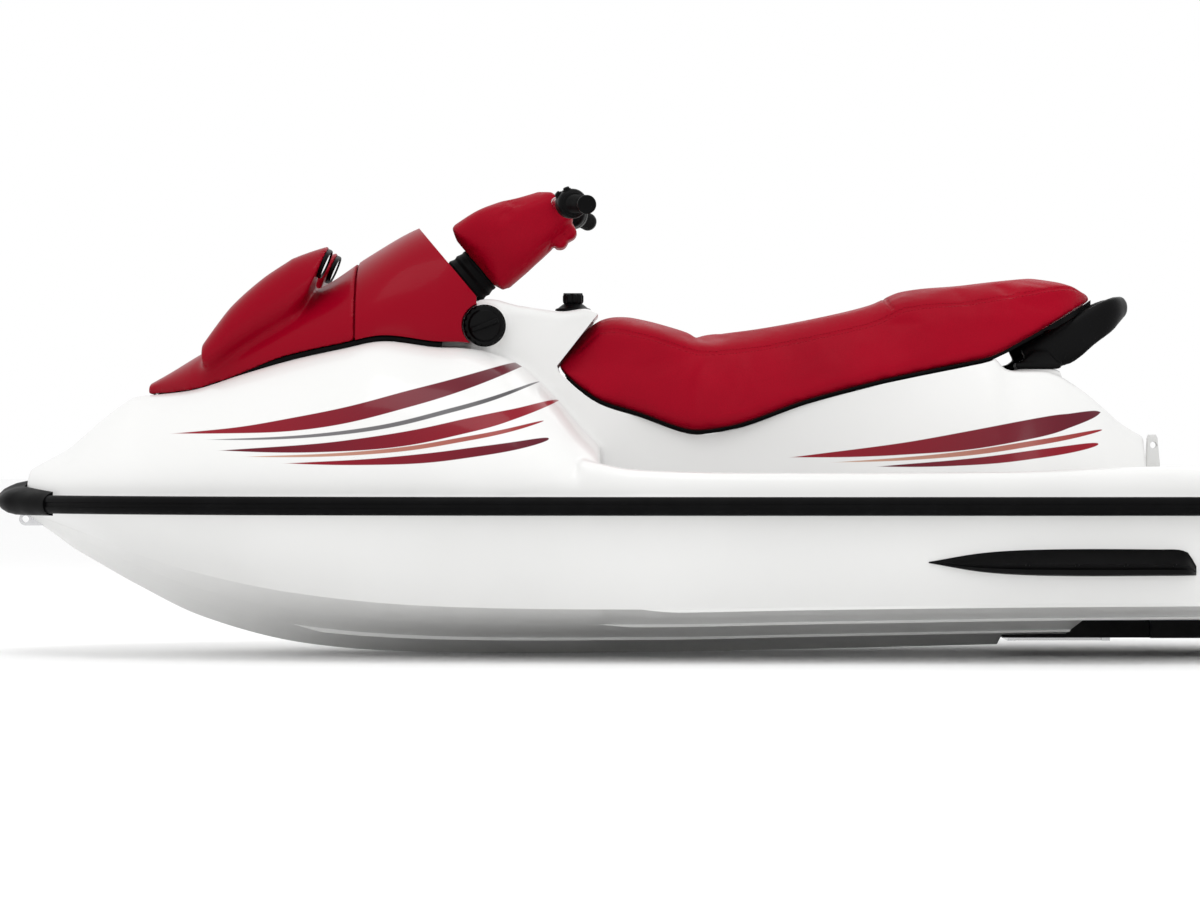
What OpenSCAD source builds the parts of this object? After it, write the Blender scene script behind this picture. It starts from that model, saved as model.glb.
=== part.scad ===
// Sit-down personal watercraft: moulded hull and deck, a hinged front hood, a lift-off saddle seat,
// a raked steering column and a water-jet pump with a swinging nozzle.
// Lengths are in millimetres. +X points forward, +Y to port and +Z up.
// Heights are worked out from the keel; the afloat() step then sets the craft at its waterline.

/* [Overall] */
// Length from the bow bumper to the stern rail
craft_len = 2680; // [2500:10:2860]
// Width over the rub rails
craft_w = 1190; // [1130:10:1250]
// Depth of the hull from keel to bond flange
hull_h = 302; // [287:5:317]
// Height of the deck ridge above the bond flange
deck_h = 403; // [383:5:423]
// Draft of the empty craft afloat
draft = 180; // [150:5:210]

/* [Mouldings] */
// Wall of the hull and deck mouldings
wall = 14; // [11:1:17]
// Wall of the hood and console mouldings
cowl_wall = 6; // [4:0.5:8]
// Thickness of each bond flange
flange_t = 12; // [10:1:14]
// Width of each bond flange
flange_w = 20; // [16:1:24]
// Width of the lifting strakes
strake_w = 26; // [18:1:32]
// Width of the chine flat
chine_w = 30; // [20:1:38]
// Outward bulge of the hull sides
side_bulge = 12; // [4:1:18]
// Width of the gunwale beside each footwell
gunwale_w = 95; // [85:1:105]
// Height of the footwell floor above the keel
floor_h = 262; // [256:1:266]
// Height of the stern platform above the keel
platform_h = 345; // [335:1:350]

/* [Rub rail and bumper] */
// Thickness of the rub rail
rail_t = 22; // [18:1:26]
// Height of the rub rail
rail_h = 36; // [30:1:42]
// Height of the bumper above the bond flange
bumper_up = 56; // [46:1:62]
// Depth of the bumper below the bond flange
bumper_down = 18; // [14:1:22]

/* [Hood and console] */
// Height of the hood seal
seal_h = 12; // [9:1:15]
// Width of the hood seal
seal_w = 14; // [10:1:18]
// Gap between the hood and the console
seam_gap = 6; // [5:0.5:8]
// Depth of the storage bin
bin_depth = 230; // [190:5:250]
// Wall of the storage bin
bin_wall = 5; // [4:0.5:6]
// Radius of the hood hinge pin
hood_pin_r = 4; // [3:0.25:4.5]
// Length of the hood hinge pin
hood_pin_len = 60; // [50:1:70]
// Radius of the mirror glass
mirror_r = 36; // [30:1:40]
// Radius of the fuel cap
cap_r = 42; // [36:1:46]
// Depth of the fuel cap
cap_t = 18; // [14:1:22]

/* [Steering] */
// Rake of the steering column above level
column_rake = 40; // [36:1:44]
// Radius of the steering stem
stem_r = 16; // [13:0.5:18]
// Radius of the column boot
boot_r = 54; // [48:1:58]
// Length of the column boot
boot_len = 58; // [52:1:60]
// Distance from the console face to the handlebar
bar_reach = 245; // [230:1:260]
// Radius of the handlebar tube
bar_r = 11.1; // [10:0.1:12]
// Half width of the straight middle of the handlebar
bar_mid = 90; // [80:1:100]
// Half width over the grips
bar_half = 370; // [340:1:390]
// Sweep of the handlebar ends toward the rider
bar_sweep = 66; // [40:1:80]
// Radius of a grip
grip_r = 18.5; // [16.5:0.5:20.5]
// Length of a grip
grip_len = 125; // [110:1:135]
// Steering pad length along the column
pad_len = 215; // [195:1:225]

/* [Seat] */
// Thickness of the seat base plate
seat_base_t = 8; // [6:0.5:10]
// Gap between the seat base and the deck
seat_gap = 0.5; // [0.3:0.1:1]
// Half width of the seat base plate
seat_base_y = 160; // [154:1:164]
// Radius of the grab handle bar
grab_r = 17; // [14:0.5:20]

/* [Jet pump] */
// Height of the pump axis above the keel
pump_z = 140; // [138:0.5:142]
// Inside radius of the pump at the impeller
pump_r = 70; // [66:0.5:71]
// Wall of the pump housing
pump_wall = 14; // [11:0.5:15]
// Length of the straight pump barrel
barrel_len = 140; // [128:1:150]
// Length of the tapered outlet
taper_len = 92; // [84:1:98]
// Inside radius of the pump outlet
outlet_r = 43; // [39:0.5:45]
// Length of the steering nozzle
nozzle_len = 120; // [105:1:125]
// Radius of the nozzle pivot pins
pivot_r = 6; // [5:0.25:7]
// Radius of the drive shaft
shaft_r = 12; // [10:0.5:14]

/* [Fittings] */
// Radius of the holes in the tow and mooring eyes
eye_r = 7; // [6:0.25:8]
// Thickness of the mooring eye plates
eye_t = 10; // [8:0.5:12]
// Reach of the sponsons from the hull side
sponson_w = 42; // [34:1:48]
// Height of the sponsons
sponson_h = 50; // [44:1:56]
// Thickness of the traction mats
mat_t = 6; // [4:0.5:8]
// Length of the engine block
engine_len = 430; // [380:5:450]
// Width of the engine block
engine_w = 280; // [250:5:290]
// Height of the engine block
engine_h = 300; // [270:5:310]

/* [Hidden] */
$fn = 64;

// Small working lengths
over = 5;
base_t = 5;
fit_gap = 0.3;
run_gap = 0.05;
move_gap = 5;
half_beam = craft_w / 2 - rail_t;
quarter = 90;
half_turn = 180;

// Columns of the hull table
STATION = 0;
KEEL = 1;
CHINE_Y = 2;
CHINE_Z = 3;
FLANGE_Y = 4;
// Station along the length; keel and chine heights as shares of hull_h; half widths of half_beam
hull_shares = [
    [0.0085, 0.0797, 0.79, 0.3841, 0.85],
    [0.02, 0.0797, 0.862, 0.3841, 0.935],
    [0.06, 0.0768, 0.885, 0.3812, 0.975],
    [0.15, 0.0672, 0.89, 0.3764, 0.992],
    [0.242, 0.0528, 0.89, 0.3707, 1.],
    [0.394, 0.0202, 0.885, 0.3553, 1.],
    [0.511, 0., 0.862, 0.338, 0.993],
    [0.674, 0., 0.765, 0.3572, 0.945],
    [0.773, 0.0663, 0.62, 0.4369, 0.868],
    [0.848, 0.2449, 0.44, 0.5666, 0.745],
    [0.898, 0.4638, 0.29, 0.6962, 0.615],
    [0.926, 0.6059, 0.19, 0.7826, 0.51],
    [0.944, 0.6991, 0.125, 0.8354, 0.425],
    [0.962, 0.8162, 0.062, 0.8882, 0.32],
    [0.976, 0.893, 0.025, 0.9219, 0.21]];
bow_share = 0.976;
stern_share = 0.0085;
gunwale_fore_share = 0.56;

// Front deck: top height as a share of deck_h above the flange, half width of the flat top
DECK_TOP = 1;
DECK_Y = 2;
front_shares = [
    [0.545, 0.2792, 0.46],
    [0.56, 0.3821, 0.42],
    [0.58, 0.5366, 0.4],
    [0.606, 0.6911, 0.4],
    [0.631, 0.7529, 0.42],
    [0.648, 0.7683, 0.46],
    [0.667, 0.7714, 0.485],
    [0.705, 0.8002, 0.505],
    [0.735, 0.7632, 0.49],
    [0.773, 0.7096, 0.44],
    [0.811, 0.6396, 0.37],
    [0.848, 0.5675, 0.255],
    [0.886, 0.5413, 0.07],
    [0.898, 0.5309, 0.03],
    [0.924, 0.4053, 0.02],
    [0.944, 0.2889, 0.012],
    [0.962, 0.2199, 0.01],
    [0.976, 0.1707, 0.01]];

// Crown of the hood and console
cowl_shares = [
    [0.63, 1.4428],
    [0.65, 1.4325],
    [0.682, 1.381],
    [0.72, 1.2368],
    [0.746, 1.1184],
    [0.773, 1.0206],
    [0.803, 0.897],
    [0.844, 0.7589],
    [0.87, 0.6567],
    [0.886, 0.5978]];
hood_aft_share = 0.728;
hood_tip_share = 0.886;
console_aft_share = 0.637;

// Pedestal: top height, half width at the top and at the floor, and the power of its flare
PED_TOP = 1;
PED_Y = 2;
PED_FOOT = 3;
PED_FLARE = 4;
ped_shares = [
    [0.1427, 0.331, 0.430, 0.675, 0.95],
    [0.1600, 0.400, 0.430, 0.690, 0.85],
    [0.1750, 0.488, 0.430, 0.690, 0.85],
    [0.1907, 0.573, 0.425, 0.690, 0.85],
    [0.2114, 0.650, 0.420, 0.690, 0.85],
    [0.245, 0.6653, 0.42, 0.67, 0.9],
    [0.254, 0.7271, 0.415, 0.66, 0.95],
    [0.273, 0.7168, 0.408, 0.64, 1.],
    [0.318, 0.6705, 0.38, 0.57, 1.2],
    [0.371, 0.5984, 0.34, 0.49, 1.5],
    [0.424, 0.4851, 0.313, 0.43, 1.7],
    [0.458, 0.4233, 0.3, 0.41, 1.8],
    [0.485, 0.4336, 0.3, 0.41, 1.8],
    [0.515, 0.5263, 0.3, 0.42, 1.7],
    [0.545, 0.9331, 0.295, 0.425, 1.6],
    [0.576, 0.9557, 0.3, 0.43, 1.6],
    [0.606, 0.9846, 0.31, 0.425, 1.6],
    [0.635, 1.0124, 0.32, 0.42, 1.6],
    [0.667, 0.8558, 0.32, 0.42, 1.6]];

// Gunwale top beside the footwells
gunwale_shares = [
    [0.0085, 0.1247],
    [0.09, 0.1607],
    [0.13, 0.1916],
    [0.25, 0.1659],
    [0.4, 0.1607],
    [0.52, 0.1762],
    [0.56, 0.2277]];

// Seat: bottom and top heights, half width at the bottom edge and at the shoulder
SEAT_BOTTOM = 1;
SEAT_TOP = 2;
SEAT_Y = 3;
SEAT_SHOULDER = 4;
seat_shares = [
    [0.176, 1., 1.036, 0.13, 0.1],
    [0.185, 0.964, 1.0875, 0.215, 0.19],
    [0.193, 0.9331, 1.1164, 0.26, 0.235],
    [0.205, 0.8867, 1.1236, 0.3, 0.27],
    [0.23, 0.794, 1.1133, 0.345, 0.3],
    [0.254, 0.7117, 1.0978, 0.37, 0.31],
    [0.273, 0.6808, 1.0824, 0.37, 0.31],
    [0.318, 0.62, 1.0515, 0.365, 0.3],
    [0.341, 0.585, 0.9846, 0.355, 0.29],
    [0.394, 0.4903, 0.9032, 0.335, 0.26],
    [0.439, 0.3821, 0.8538, 0.325, 0.235],
    [0.47, 0.3451, 0.8404, 0.32, 0.225],
    [0.485, 0.3574, 0.8713, 0.318, 0.225],
    [0.515, 0.4295, 0.9279, 0.312, 0.23],
    [0.545, 0.4933, 0.9382, 0.3, 0.235],
    [0.563, 0.5726, 0.8043, 0.29, 0.24],
    [0.576, 0.655, 0.722, 0.28, 0.235]];

// Reads column c of table t at station s, with a smooth curve through the rows
function row(t, s, i = 0) = (i >= len(t) - 2 || s <= t[i + 1][STATION]) ? i : row(t, s, i + 1);
function rise(t, c, i) = let (a = max(i - 1, 0), b = min(i + 1, len(t) - 1))
    (t[b][c] - t[a][c]) / (t[b][STATION] - t[a][STATION]);
function curve(t, c, s) = let (i = row(t, s), h = t[i + 1][STATION] - t[i][STATION],
    u = min(1, max(0, (s - t[i][STATION]) / h)), m = rise(t, c, i) * h, n = rise(t, c, i + 1) * h)
    t[i][c] * (2 * u * u * u - 3 * u * u + 1) + m * (u * u * u - 2 * u * u + u)
    + t[i + 1][c] * (3 * u * u - 2 * u * u * u) + n * (u * u * u - u * u);
// Stations of a table between two limits, each step split in n
function stations(t, lo, hi, n = 2) = concat([lo],
    [for (i = [0:len(t) - 2]) for (k = [0:n - 1])
        let (s = t[i][STATION] + (t[i + 1][STATION] - t[i][STATION]) * k / n)
        if (s > lo && s < hi) s], [hi]);
function mix(a, b, u) = a + (b - a) * u;
// One sorted list without repeats
function sorted(l) = len(l) < 2 ? l : let (p = l[floor(len(l) / 2)])
    concat(sorted([for (x = l) if (x < p) x]), [p], sorted([for (x = l) if (x > p) x]));
function within(l, lo, hi) = sorted(concat([lo, hi], [for (x = l) if (x > lo && x < hi) x]));
// Even stations between two limits
function even(lo, hi, n) = [for (k = [0:n]) mix(lo, hi, k / n)];
function at(s) = (s - 0.5) * craft_len;

// Stations shared by the hull, the deck edge and the rail
edge_list = sorted(concat(stations(hull_shares, stern_share, bow_share, 1),
    [for (r = front_shares) r[STATION]], [0.0125, 0.035, gunwale_fore_share]));

// Hull form
function keel_z(s) = hull_h * curve(hull_shares, KEEL, s);
function chine_y(s) = half_beam * curve(hull_shares, CHINE_Y, s);
function chine_z(s) = hull_h * curve(hull_shares, CHINE_Z, s);
function flange_y(s) = half_beam * curve(hull_shares, FLANGE_Y, s);
function vee_z(s, y) = mix(keel_z(s), chine_z(s), y / chine_y(s));
function side_y(s, z) = let (u = (z - chine_z(s)) / (hull_h - flange_t - chine_z(s)))
    mix(chine_y(s), flange_y(s) - flange_w, u) + side_bulge * sin(half_turn * u) * bulge_share(s);
function bulge_share(s) = min(1, max(0, (bow_share - s) / 0.1));
strake_shares = [0.36, 0.66];
strake_start_shares = [0.775, 0.545];
side_step_shares = [0.12, 0.35, 0.6, 0.8, 1];
strake_min = 3;
function fade(s, start) = min(1, max(0, (start - s) / 0.02));
function step_w(w, s, start) = min(max(strake_min, w * fade(s, start)), 0.12 * chine_y(s));
function step_points(s, y, w) = [[y - w, vee_z(s, y - w)], [y, vee_z(s, y - w)], [y, vee_z(s, y)]];
function hull_half(s) = concat([[0, keel_z(s)]],
    [for (k = [0, 1]) each step_points(s, strake_shares[k] * chine_y(s),
        step_w(strake_w, s, strake_start_shares[k]))],
    step_points(s, chine_y(s), step_w(chine_w, s, 0.515)),
    [for (u = side_step_shares) let (z = mix(chine_z(s), hull_h - flange_t, u)) [side_y(s, z), z]],
    [[flange_y(s), hull_h - flange_t], [flange_y(s), hull_h], [0, hull_h]]);
function bay_half(s, lift) = [[0, keel_z(s) + lift], [chine_y(s) - 2 * wall, chine_z(s) + lift / 2],
    [side_y(s, mix(chine_z(s), hull_h, 0.5)) - wall, mix(chine_z(s), hull_h, 0.5)],
    [flange_y(s) - flange_w - wall, hull_h - flange_t], [flange_y(s) - flange_w - wall, hull_h + over],
    [0, hull_h + over]];

// Deck form
function deck_z(share) = hull_h + deck_h * share;
function front_z(s) = deck_z(curve(front_shares, DECK_TOP, s));
function front_y(s) = half_beam * curve(front_shares, DECK_Y, s);
arc_steps = 6;
function front_half(s) = let (b = flange_y(s) - flange_w, f = hull_h + flange_t)
    concat([[0, hull_h], [flange_y(s), hull_h], [flange_y(s), f]],
    [for (k = [0:arc_steps]) let (a = quarter * k / arc_steps)
        [mix(front_y(s), b, cos(a)), mix(f, front_z(s), sin(a))]], [[0, front_z(s)]]);
function front_bay_half(s) = let (b = flange_y(s) - flange_w - wall)
    concat([[0, floor_h - 2 * flange_t], [b, floor_h - 2 * flange_t]],
    [for (k = [0:arc_steps]) let (a = quarter * k / arc_steps)
        [mix(min(front_y(s), b - wall), b, cos(a)), mix(hull_h, front_z(s) - wall, sin(a))]],
    [[0, front_z(s) - wall]]);
function ped_z(s) = deck_z(curve(ped_shares, PED_TOP, s));
function ped_y(s) = half_beam * curve(ped_shares, PED_Y, s);
function ped_foot(s) = half_beam * curve(ped_shares, PED_FOOT, s);
function ped_side(s, u) = mix(ped_foot(s), ped_y(s), 1 - pow(1 - u, curve(ped_shares, PED_FLARE, s)));
ped_edge = 16;
ped_steps = 5;
function ped_half(s, g = 0) = concat([[0, floor_h - flange_t], [ped_foot(s) + g, floor_h - flange_t]],
    [for (k = [0:ped_steps]) let (u = k / ped_steps)
        [ped_side(s, u) + g, mix(floor_h, ped_z(s) - ped_edge, u) + g]],
    [[ped_y(s) - ped_edge, ped_z(s) + g], [0, ped_z(s) + g]]);
bay_wall = 26;
function ped_bay_half(s) = concat([[0, floor_h - flange_t - over]],
    [for (k = [0, 2, 5]) [ped_side(s, k / ped_steps) - bay_wall,
        mix(floor_h - flange_t - over, ped_z(s) - wall, k / ped_steps)]], [[0, ped_z(s) - wall]]);
function gunwale_z(s) = deck_z(curve(gunwale_shares, 1, s));
gunwale_slope = 14;
rail_edge = 9;
gunwale_round = 24;
function gunwale_in(s) = flange_y(s) - gunwale_w - gunwale_slope;
transom_share = 0.0205;
function gunwale_foot(s) = (s < transom_share) ? hull_h + flange_t : floor_h;
function gunwale_ring(s) = let (f = flange_y(s), b = f - flange_w, g = gunwale_z(s),
    low = gunwale_foot(s))
    [[b - gunwale_round, hull_h], [f, hull_h], [f, hull_h + flange_t], [b, hull_h + flange_t],
     [b - rail_edge, g - gunwale_round], [b - gunwale_round, g - rail_edge / 3],
     [f - gunwale_w + gunwale_round, g], [f - gunwale_w, g - rail_edge], [gunwale_in(s), low],
     [gunwale_in(s), low - flange_t]];

// Seat form
function seat_bottom(s) = deck_z(curve(seat_shares, SEAT_BOTTOM, s));
function seat_top(s) = deck_z(curve(seat_shares, SEAT_TOP, s));
seat_rise_shares = [0.12, 0.5, 0.8, 0.95];
function seat_half(s) = let (b = seat_bottom(s) + seat_base_t, t = seat_top(s),
    y = half_beam * curve(seat_shares, SEAT_Y, s), r = half_beam * curve(seat_shares, SEAT_SHOULDER, s))
    [[0, b], [y, b], [y, mix(b, t, seat_rise_shares[0])],
        [mix(y, r, 0.6), mix(b, t, seat_rise_shares[1])],
     [r, mix(b, t, seat_rise_shares[2])], [r * 0.72, mix(b, t, seat_rise_shares[3])], [0, t]];
seat_tail_share = 0.176;
seat_nose_share = 0.576;
base_tail_share = 0.215;
base_nose_share = 0.558;
lip_share = 0.545;

// Hood and console form
cowl_steps = 7;
function cowl_z(s) = deck_z(curve(cowl_shares, 1, s));
function cowl_half(s, t, drop) = let (y = front_y(s) - t, z = front_z(s) + seal_h, c = cowl_z(s) - t)
    concat([[0, z - drop], [y, z - drop]],
    [for (k = [1:cowl_steps - 1]) let (a = quarter * k / cowl_steps)
        [y * pow(cos(a), 0.75), mix(z, c, pow(sin(a), 0.95))]], [[0, c]]);

// Steering column frame: origin on the console face, u up the column
column_share = 0.648;
column_x = at(column_share);
column_z = deck_z(1.1112);
module on_column() translate([column_x, 0, column_z]) rotate([0, column_rake - quarter, 0]) children();

// Solids from rings of points
module skin(rings) {
    n = len(rings[0]);
    m = len(rings);
    polyhedron(points = [for (r = rings) each r],
        faces = concat([[for (j = [0:n - 1]) j]], [[for (j = [n:-1:1]) (m - 1) * n + j % n]],
            [for (i = [0:m - 2]) for (j = [0:n - 1]) let (a = i * n + j, b = i * n + (j + 1) % n)
                each [[a + n, b + n, b], [a + n, b, a]]]));
}
function both(half) = concat(half,
    [for (i = [len(half) - 1:-1:0]) if (half[i][0] > run_gap) [-half[i][0], half[i][1]]]);
function ring(s, pts) = [for (p = pts) [at(s), p[0], p[1]]];
module side_pair() {
    children();
    mirror([0, 1, 0]) children();
}
module afloat() translate([0, 0, -draft]) children();

// Hull: vee bottom with strakes, pump tunnel and stepped stern
tunnel_share = 0.245;
tunnel_y = 130;
tunnel_top = 234;
notch_share = 0.205;
notch_z = 75;
tray_gap = 1;
bay_lift = 22;
bay_aft_share = 0.262;
bay_fore_share = 0.915;
tray_fore_share = 0.30;
module hull_moulding() {
    color("white") difference() {
        union() {
            skin([for (s = edge_list) ring(s, both(hull_half(s)))]);
            engine_beds();
        }
        difference() {
            skin([for (s = stations(hull_shares, bay_aft_share, bay_fore_share, 1))
                ring(s, both(bay_half(s, bay_lift)))]);
            engine_beds();
        }
        skin([for (s = stations(hull_shares, 0.02, tray_fore_share, 2))
            let (y = flange_y(s) - flange_w - gunwale_round + tray_gap,
            z = floor_h - flange_t - tray_gap) ring(s,
                [[-y, z], [y, z], [y, hull_h + over], [-y, hull_h + over]])]);
        tunnel_cut();
        notch_cut();
        eye_slot();
    }
}
bed_w = 40;
bed_y = 95;
bed_len = 90;
engine_share = 0.462;
engine_foot = 84;
module engine_beds() {
    for (x = [-1, 1], y = [-1, 1], k = [0, 1])
        translate([at(engine_share) + x * (engine_len / 2 - bed_len / 2), y * bed_y, 0]) hull() {
            translate([-bed_len / 2 + k * bed_len / 2, -bed_w / 2, vee_z(engine_share, bed_y + bed_w)])
                cube([bed_len / 2, bed_w, wall]);
            translate([-bed_len / 2 + k * bed_len / 2, -bed_w / 4, engine_foot - wall])
                cube([bed_len / 2, bed_w / 2, wall - fit_gap]);
        }
}
module tunnel_cut() {
    translate([at(-0.02), -tunnel_y, -over])
        cube([at(tunnel_share) - at(-0.02), 2 * tunnel_y, tunnel_top + over]);
}
module notch_cut() {
    rotate([quarter, 0, 0]) translate([0, 0, -craft_w / 2]) linear_extrude(craft_w)
        polygon([[at(-0.02), -over], [at(notch_share) + over, -over],
            [at(notch_share) - notch_z / 2, notch_z],
            [at(-0.02), notch_z]]);
}

// Deck: front flank, gunwales, footwell floor, stern platform and hollow pedestal
ped_aft_share = 0.1430;
ped_fore_share = 0.6668;
ramp_fore_share = 0.17;
ramp_aft_share = 0.135;
floor_fore_share = 0.575;
pad_h = 3;
module deck_shell() difference() {
    union() {
        skin([for (s = within(edge_list, lip_share, bow_share)) ring(s, both(front_half(s)))]);
        skin([for (s = even(ped_aft_share, ped_fore_share, 27)) ring(s, both(ped_half(s)))]);
        side_pair() skin([for (s = within(edge_list, stern_share, gunwale_fore_share))
            ring(s, gunwale_ring(s))]);
        skin([for (s = stations(hull_shares, 0.0215, floor_fore_share, 1))
            let (y = gunwale_in(s) + wall / 2)
            ring(s, [[-y, floor_h - flange_t], [y, floor_h - flange_t], [y, floor_h],
                [-y, floor_h]])]);
        stern_deck();
        toe_wall();
        handle_pad();
        knob_pad();
        filler_neck();
    }
    skin([for (s = stations(front_shares, 0.565, 0.935, 1)) ring(s, both(front_bay_half(s)))]);
    skin([for (s = even(0.2753, 0.6547, 15)) ring(s, both(ped_bay_half(s)))]);
    seat_cut();
    bin_cut();
    tie_slots();
}
split_share = 0.603;
module deck_moulding() color("white") intersection() {
    deck_shell();
    translate([-craft_len, -craft_w, 0])
        cube([craft_len + at(split_share) - fit_gap, 2 * craft_w, craft_len]);
}
module front_deck() color("white") {
    difference() {
        union() {
            intersection() {
                deck_shell();
                translate([at(split_share), -craft_w, 0]) cube([craft_len, 2 * craft_w, craft_len]);
            }
            translate([hood_pin_x - block_len / 2, -block_half, hood_pin_z - pocket_r - 2 * wall])
                cube([block_len, 2 * block_half, pocket_r + wall]);
        }
        hinge_pocket();
    }
    hinge_lugs();
}
tie_share = 0.075;
tie_len = 60;
tie_r = 12;
tie_y = 400;
module tie_slots() for (k = [-1, 1]) translate([at(tie_share), k * tie_y, platform_h - tie_r]) hull()
    for (x = [-1, 1]) translate([x * tie_len / 2, 0, 0]) cylinder(h = 2 * tie_r, r = tie_r);
module stern_deck() {
    skin([for (r = [[stern_share, platform_h], [0.0225, platform_h], [0.05, platform_h],
        [0.09, platform_h], [ramp_aft_share, platform_h], [ramp_fore_share, floor_h - fit_gap]])
        let (y = gunwale_in(r[0]) + gunwale_slope + wall, z = (r[0] < 0.03) ? hull_h : floor_h - flange_t)
        ring(r[0], [[-y, z], [y, z], [y, r[1]], [-y, r[1]]])]);
}
toe_aft_share = 0.5475;
toe_fore_share = 0.5605;
module toe_wall() translate([at(toe_aft_share), -gunwale_in(toe_aft_share), floor_h - flange_t])
    cube([at(toe_fore_share) - at(toe_aft_share), 2 * gunwale_in(toe_aft_share),
        hull_h - floor_h + 2 * flange_t]);
handle_fore_share = 0.236;
handle_aft_share = 0.202;
handle_in = 105;
handle_out = 180;
handle_z = deck_z(0.6622) + pad_h;
module handle_pad() {
    for (k = [-1, 1]) hull() {
        translate([at(handle_aft_share), k * (handle_in + handle_out) / 2 - (handle_out - handle_in) / 2,
            handle_z - 2 * ped_edge])
            cube([at(handle_fore_share) - at(handle_aft_share), handle_out - handle_in, 2 * ped_edge]);
    }
}
knob_share = 0.566;
knob_r = 36;
knob_z = deck_z(0.9567) + pad_h;
module knob_pad() translate([at(knob_share), 0, knob_z - ped_edge]) hull() {
    cylinder(h = ped_edge, r = knob_r);
    cylinder(h = pad_h, r = knob_r + pad_h);
}
cap_share = 0.631;
cap_z = deck_z(0.8816);
neck_share = 0.3578;
neck_y = half_beam * neck_share;
module filler_neck() translate([at(cap_share), 0, cap_z]) rotate([-quarter, 0, 0]) hull() {
    cylinder(h = neck_y, r = cap_r - pad_h);
    cylinder(h = neck_y - pad_h, r = cap_r + pad_h);
}
function lip_line(u, g) = [mix(at(seat_nose_share), at(lip_share), u) + g,
    mix(seat_bottom(seat_nose_share) + seat_base_t, seat_top(lip_share), u) + g];
module seat_cut() {
    rotate([quarter, 0, 0]) translate([0, 0, -craft_w / 2]) linear_extrude(craft_w)
        polygon(concat([[at(base_tail_share), deck_z(2)]],
            [for (s = stations(seat_shares, base_tail_share, seat_nose_share, 2)) [at(s),
                seat_bottom(s) - seat_gap]],
            [lip_line(0, 4), lip_line(1, 4)], [[at(lip_share) + 4, deck_z(2)]]));
}
bin_fore_share = 0.832;
bin_aft_share = 0.742;
bin_y_share = 0.2269;
bin_y = half_beam * bin_y_share;
bin_r = 30;
bin_rim = 14;
bin_top = deck_z(0.79);
module bin_block(grow, top, depth) {
    x0 = at(bin_aft_share) + bin_r;
    x1 = at(bin_fore_share) - bin_r;
    translate([0, 0, top - depth]) hull() for (x = [x0, x1], y = [-1, 1])
        translate([x, y * (bin_y - bin_r), 0]) cylinder(h = depth, r = bin_r + grow);
}
module bin_cut() bin_block(1, deck_z(1.2), deck_h * 0.8);
hood_pin_x = at(hood_tip_share) - 16;
hood_pin_z = front_z(hood_tip_share) + 6;
pocket_r = 22;
pocket_half = 50;
block_len = 64;
block_half = 58;
lug_t = 10;
lug_r = 7;
module at_hinge() translate([hood_pin_x, 0, hood_pin_z]) rotate([quarter, 0, 0]) children();
module hinge_pocket() at_hinge() hull() for (k = [0, 1]) translate([0, k * pocket_r, -pocket_half])
    cylinder(h = 2 * pocket_half, r = pocket_r);
module hinge_lugs() at_hinge() for (k = [-1, 1])
    translate([0, 0, k * (knuckle_len / 2 + 1 + lug_t / 2) - lug_t / 2]) difference() {
        hull() {
            cylinder(h = lug_t, r = lug_r);
            translate([-lug_r, -pocket_r - base_t, 0]) cube([2 * lug_r, base_t, lug_t]);
        }
        translate([0, 0, -over]) cylinder(h = lug_t + 2 * over, r = hood_pin_r + run_gap);
    }

// Rub rail: black band round the bond flange, open at the bow bumper
rail_fore_share = 0.9565;
function rail_path() = let (p = [for (s = within(edge_list, stern_share, rail_fore_share)) [at(s),
    flange_y(s)]])
    concat([for (i = [len(p) - 1:-1:0]) [p[i][0], -p[i][1]]], p);
function unit(v) = v / norm(v);
function sweep_ring(path, i, sec) = let (a = path[max(i - 1, 0)], b = path[min(i + 1, len(path) - 1)],
    t = unit(b - a)) [for (q = sec) [path[i][0] - t[1] * q[0], path[i][1] + t[0] * q[0], q[1]]];
rail_sec = [[fit_gap, hull_h - rail_h / 2], [rail_t * 0.7, hull_h - rail_h / 2],
    [rail_t, hull_h - rail_h / 4],
    [rail_t, hull_h + rail_h / 4], [rail_t * 0.7, hull_h + rail_h / 2], [fit_gap, hull_h + rail_h / 2]];
module rub_rail() {
    path = rail_path();
    color("dimgray") skin([for (i = [0:len(path) - 1]) sweep_ring(path, i, rail_sec)]);
}

// Bow bumper: pointed cap over the end of the rail
bumper_shares = [[0.958, 0.40], [0.967, 0.50], [0.976, 0.78]];
bumper_len = craft_len / 2 - at(bow_share);
bumper_gap = 0.8;
function bumper_sec(t) = [[bumper_gap, hull_h - bumper_down], [t * 0.6, hull_h - bumper_down * 0.8],
    [t, hull_h - bumper_down * 0.3], [t, hull_h + bumper_up * 0.25],
        [t * 0.66, hull_h + bumper_up * 0.68],
    [bumper_gap, hull_h + bumper_up]];
function bumper_side() = [for (r = bumper_shares) [at(r[0]), flange_y(r[0]), bumper_len * r[1]]];
function bumper_path() = let (p = bumper_side(), y = flange_y(bow_share))
    concat([for (r = p) [r[0], -r[1], r[2]]],
        [for (k = [-0.5, 0, 0.5]) [at(bow_share), k * y, bumper_len * (1 - 0.12 * abs(k))]],
        [for (i = [len(p) - 1:-1:0]) p[i]]);
module bow_bumper() {
    path = bumper_path();
    flat = [for (p = path) [p[0], p[1]]];
    color("dimgray") skin([for (i = [len(path) - 1:-1:0])
        sweep_ring_in(flat, i, bumper_sec(path[i][2]))]);
}
function sweep_ring_in(path, i, sec) = let (a = path[max(i - 1, 0)], b = path[min(i + 1, len(path) - 1)],
    t = unit(b - a)) [for (q = sec) [path[i][0] + t[1] * q[0], path[i][1] - t[0] * q[0], q[1]]];

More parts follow.
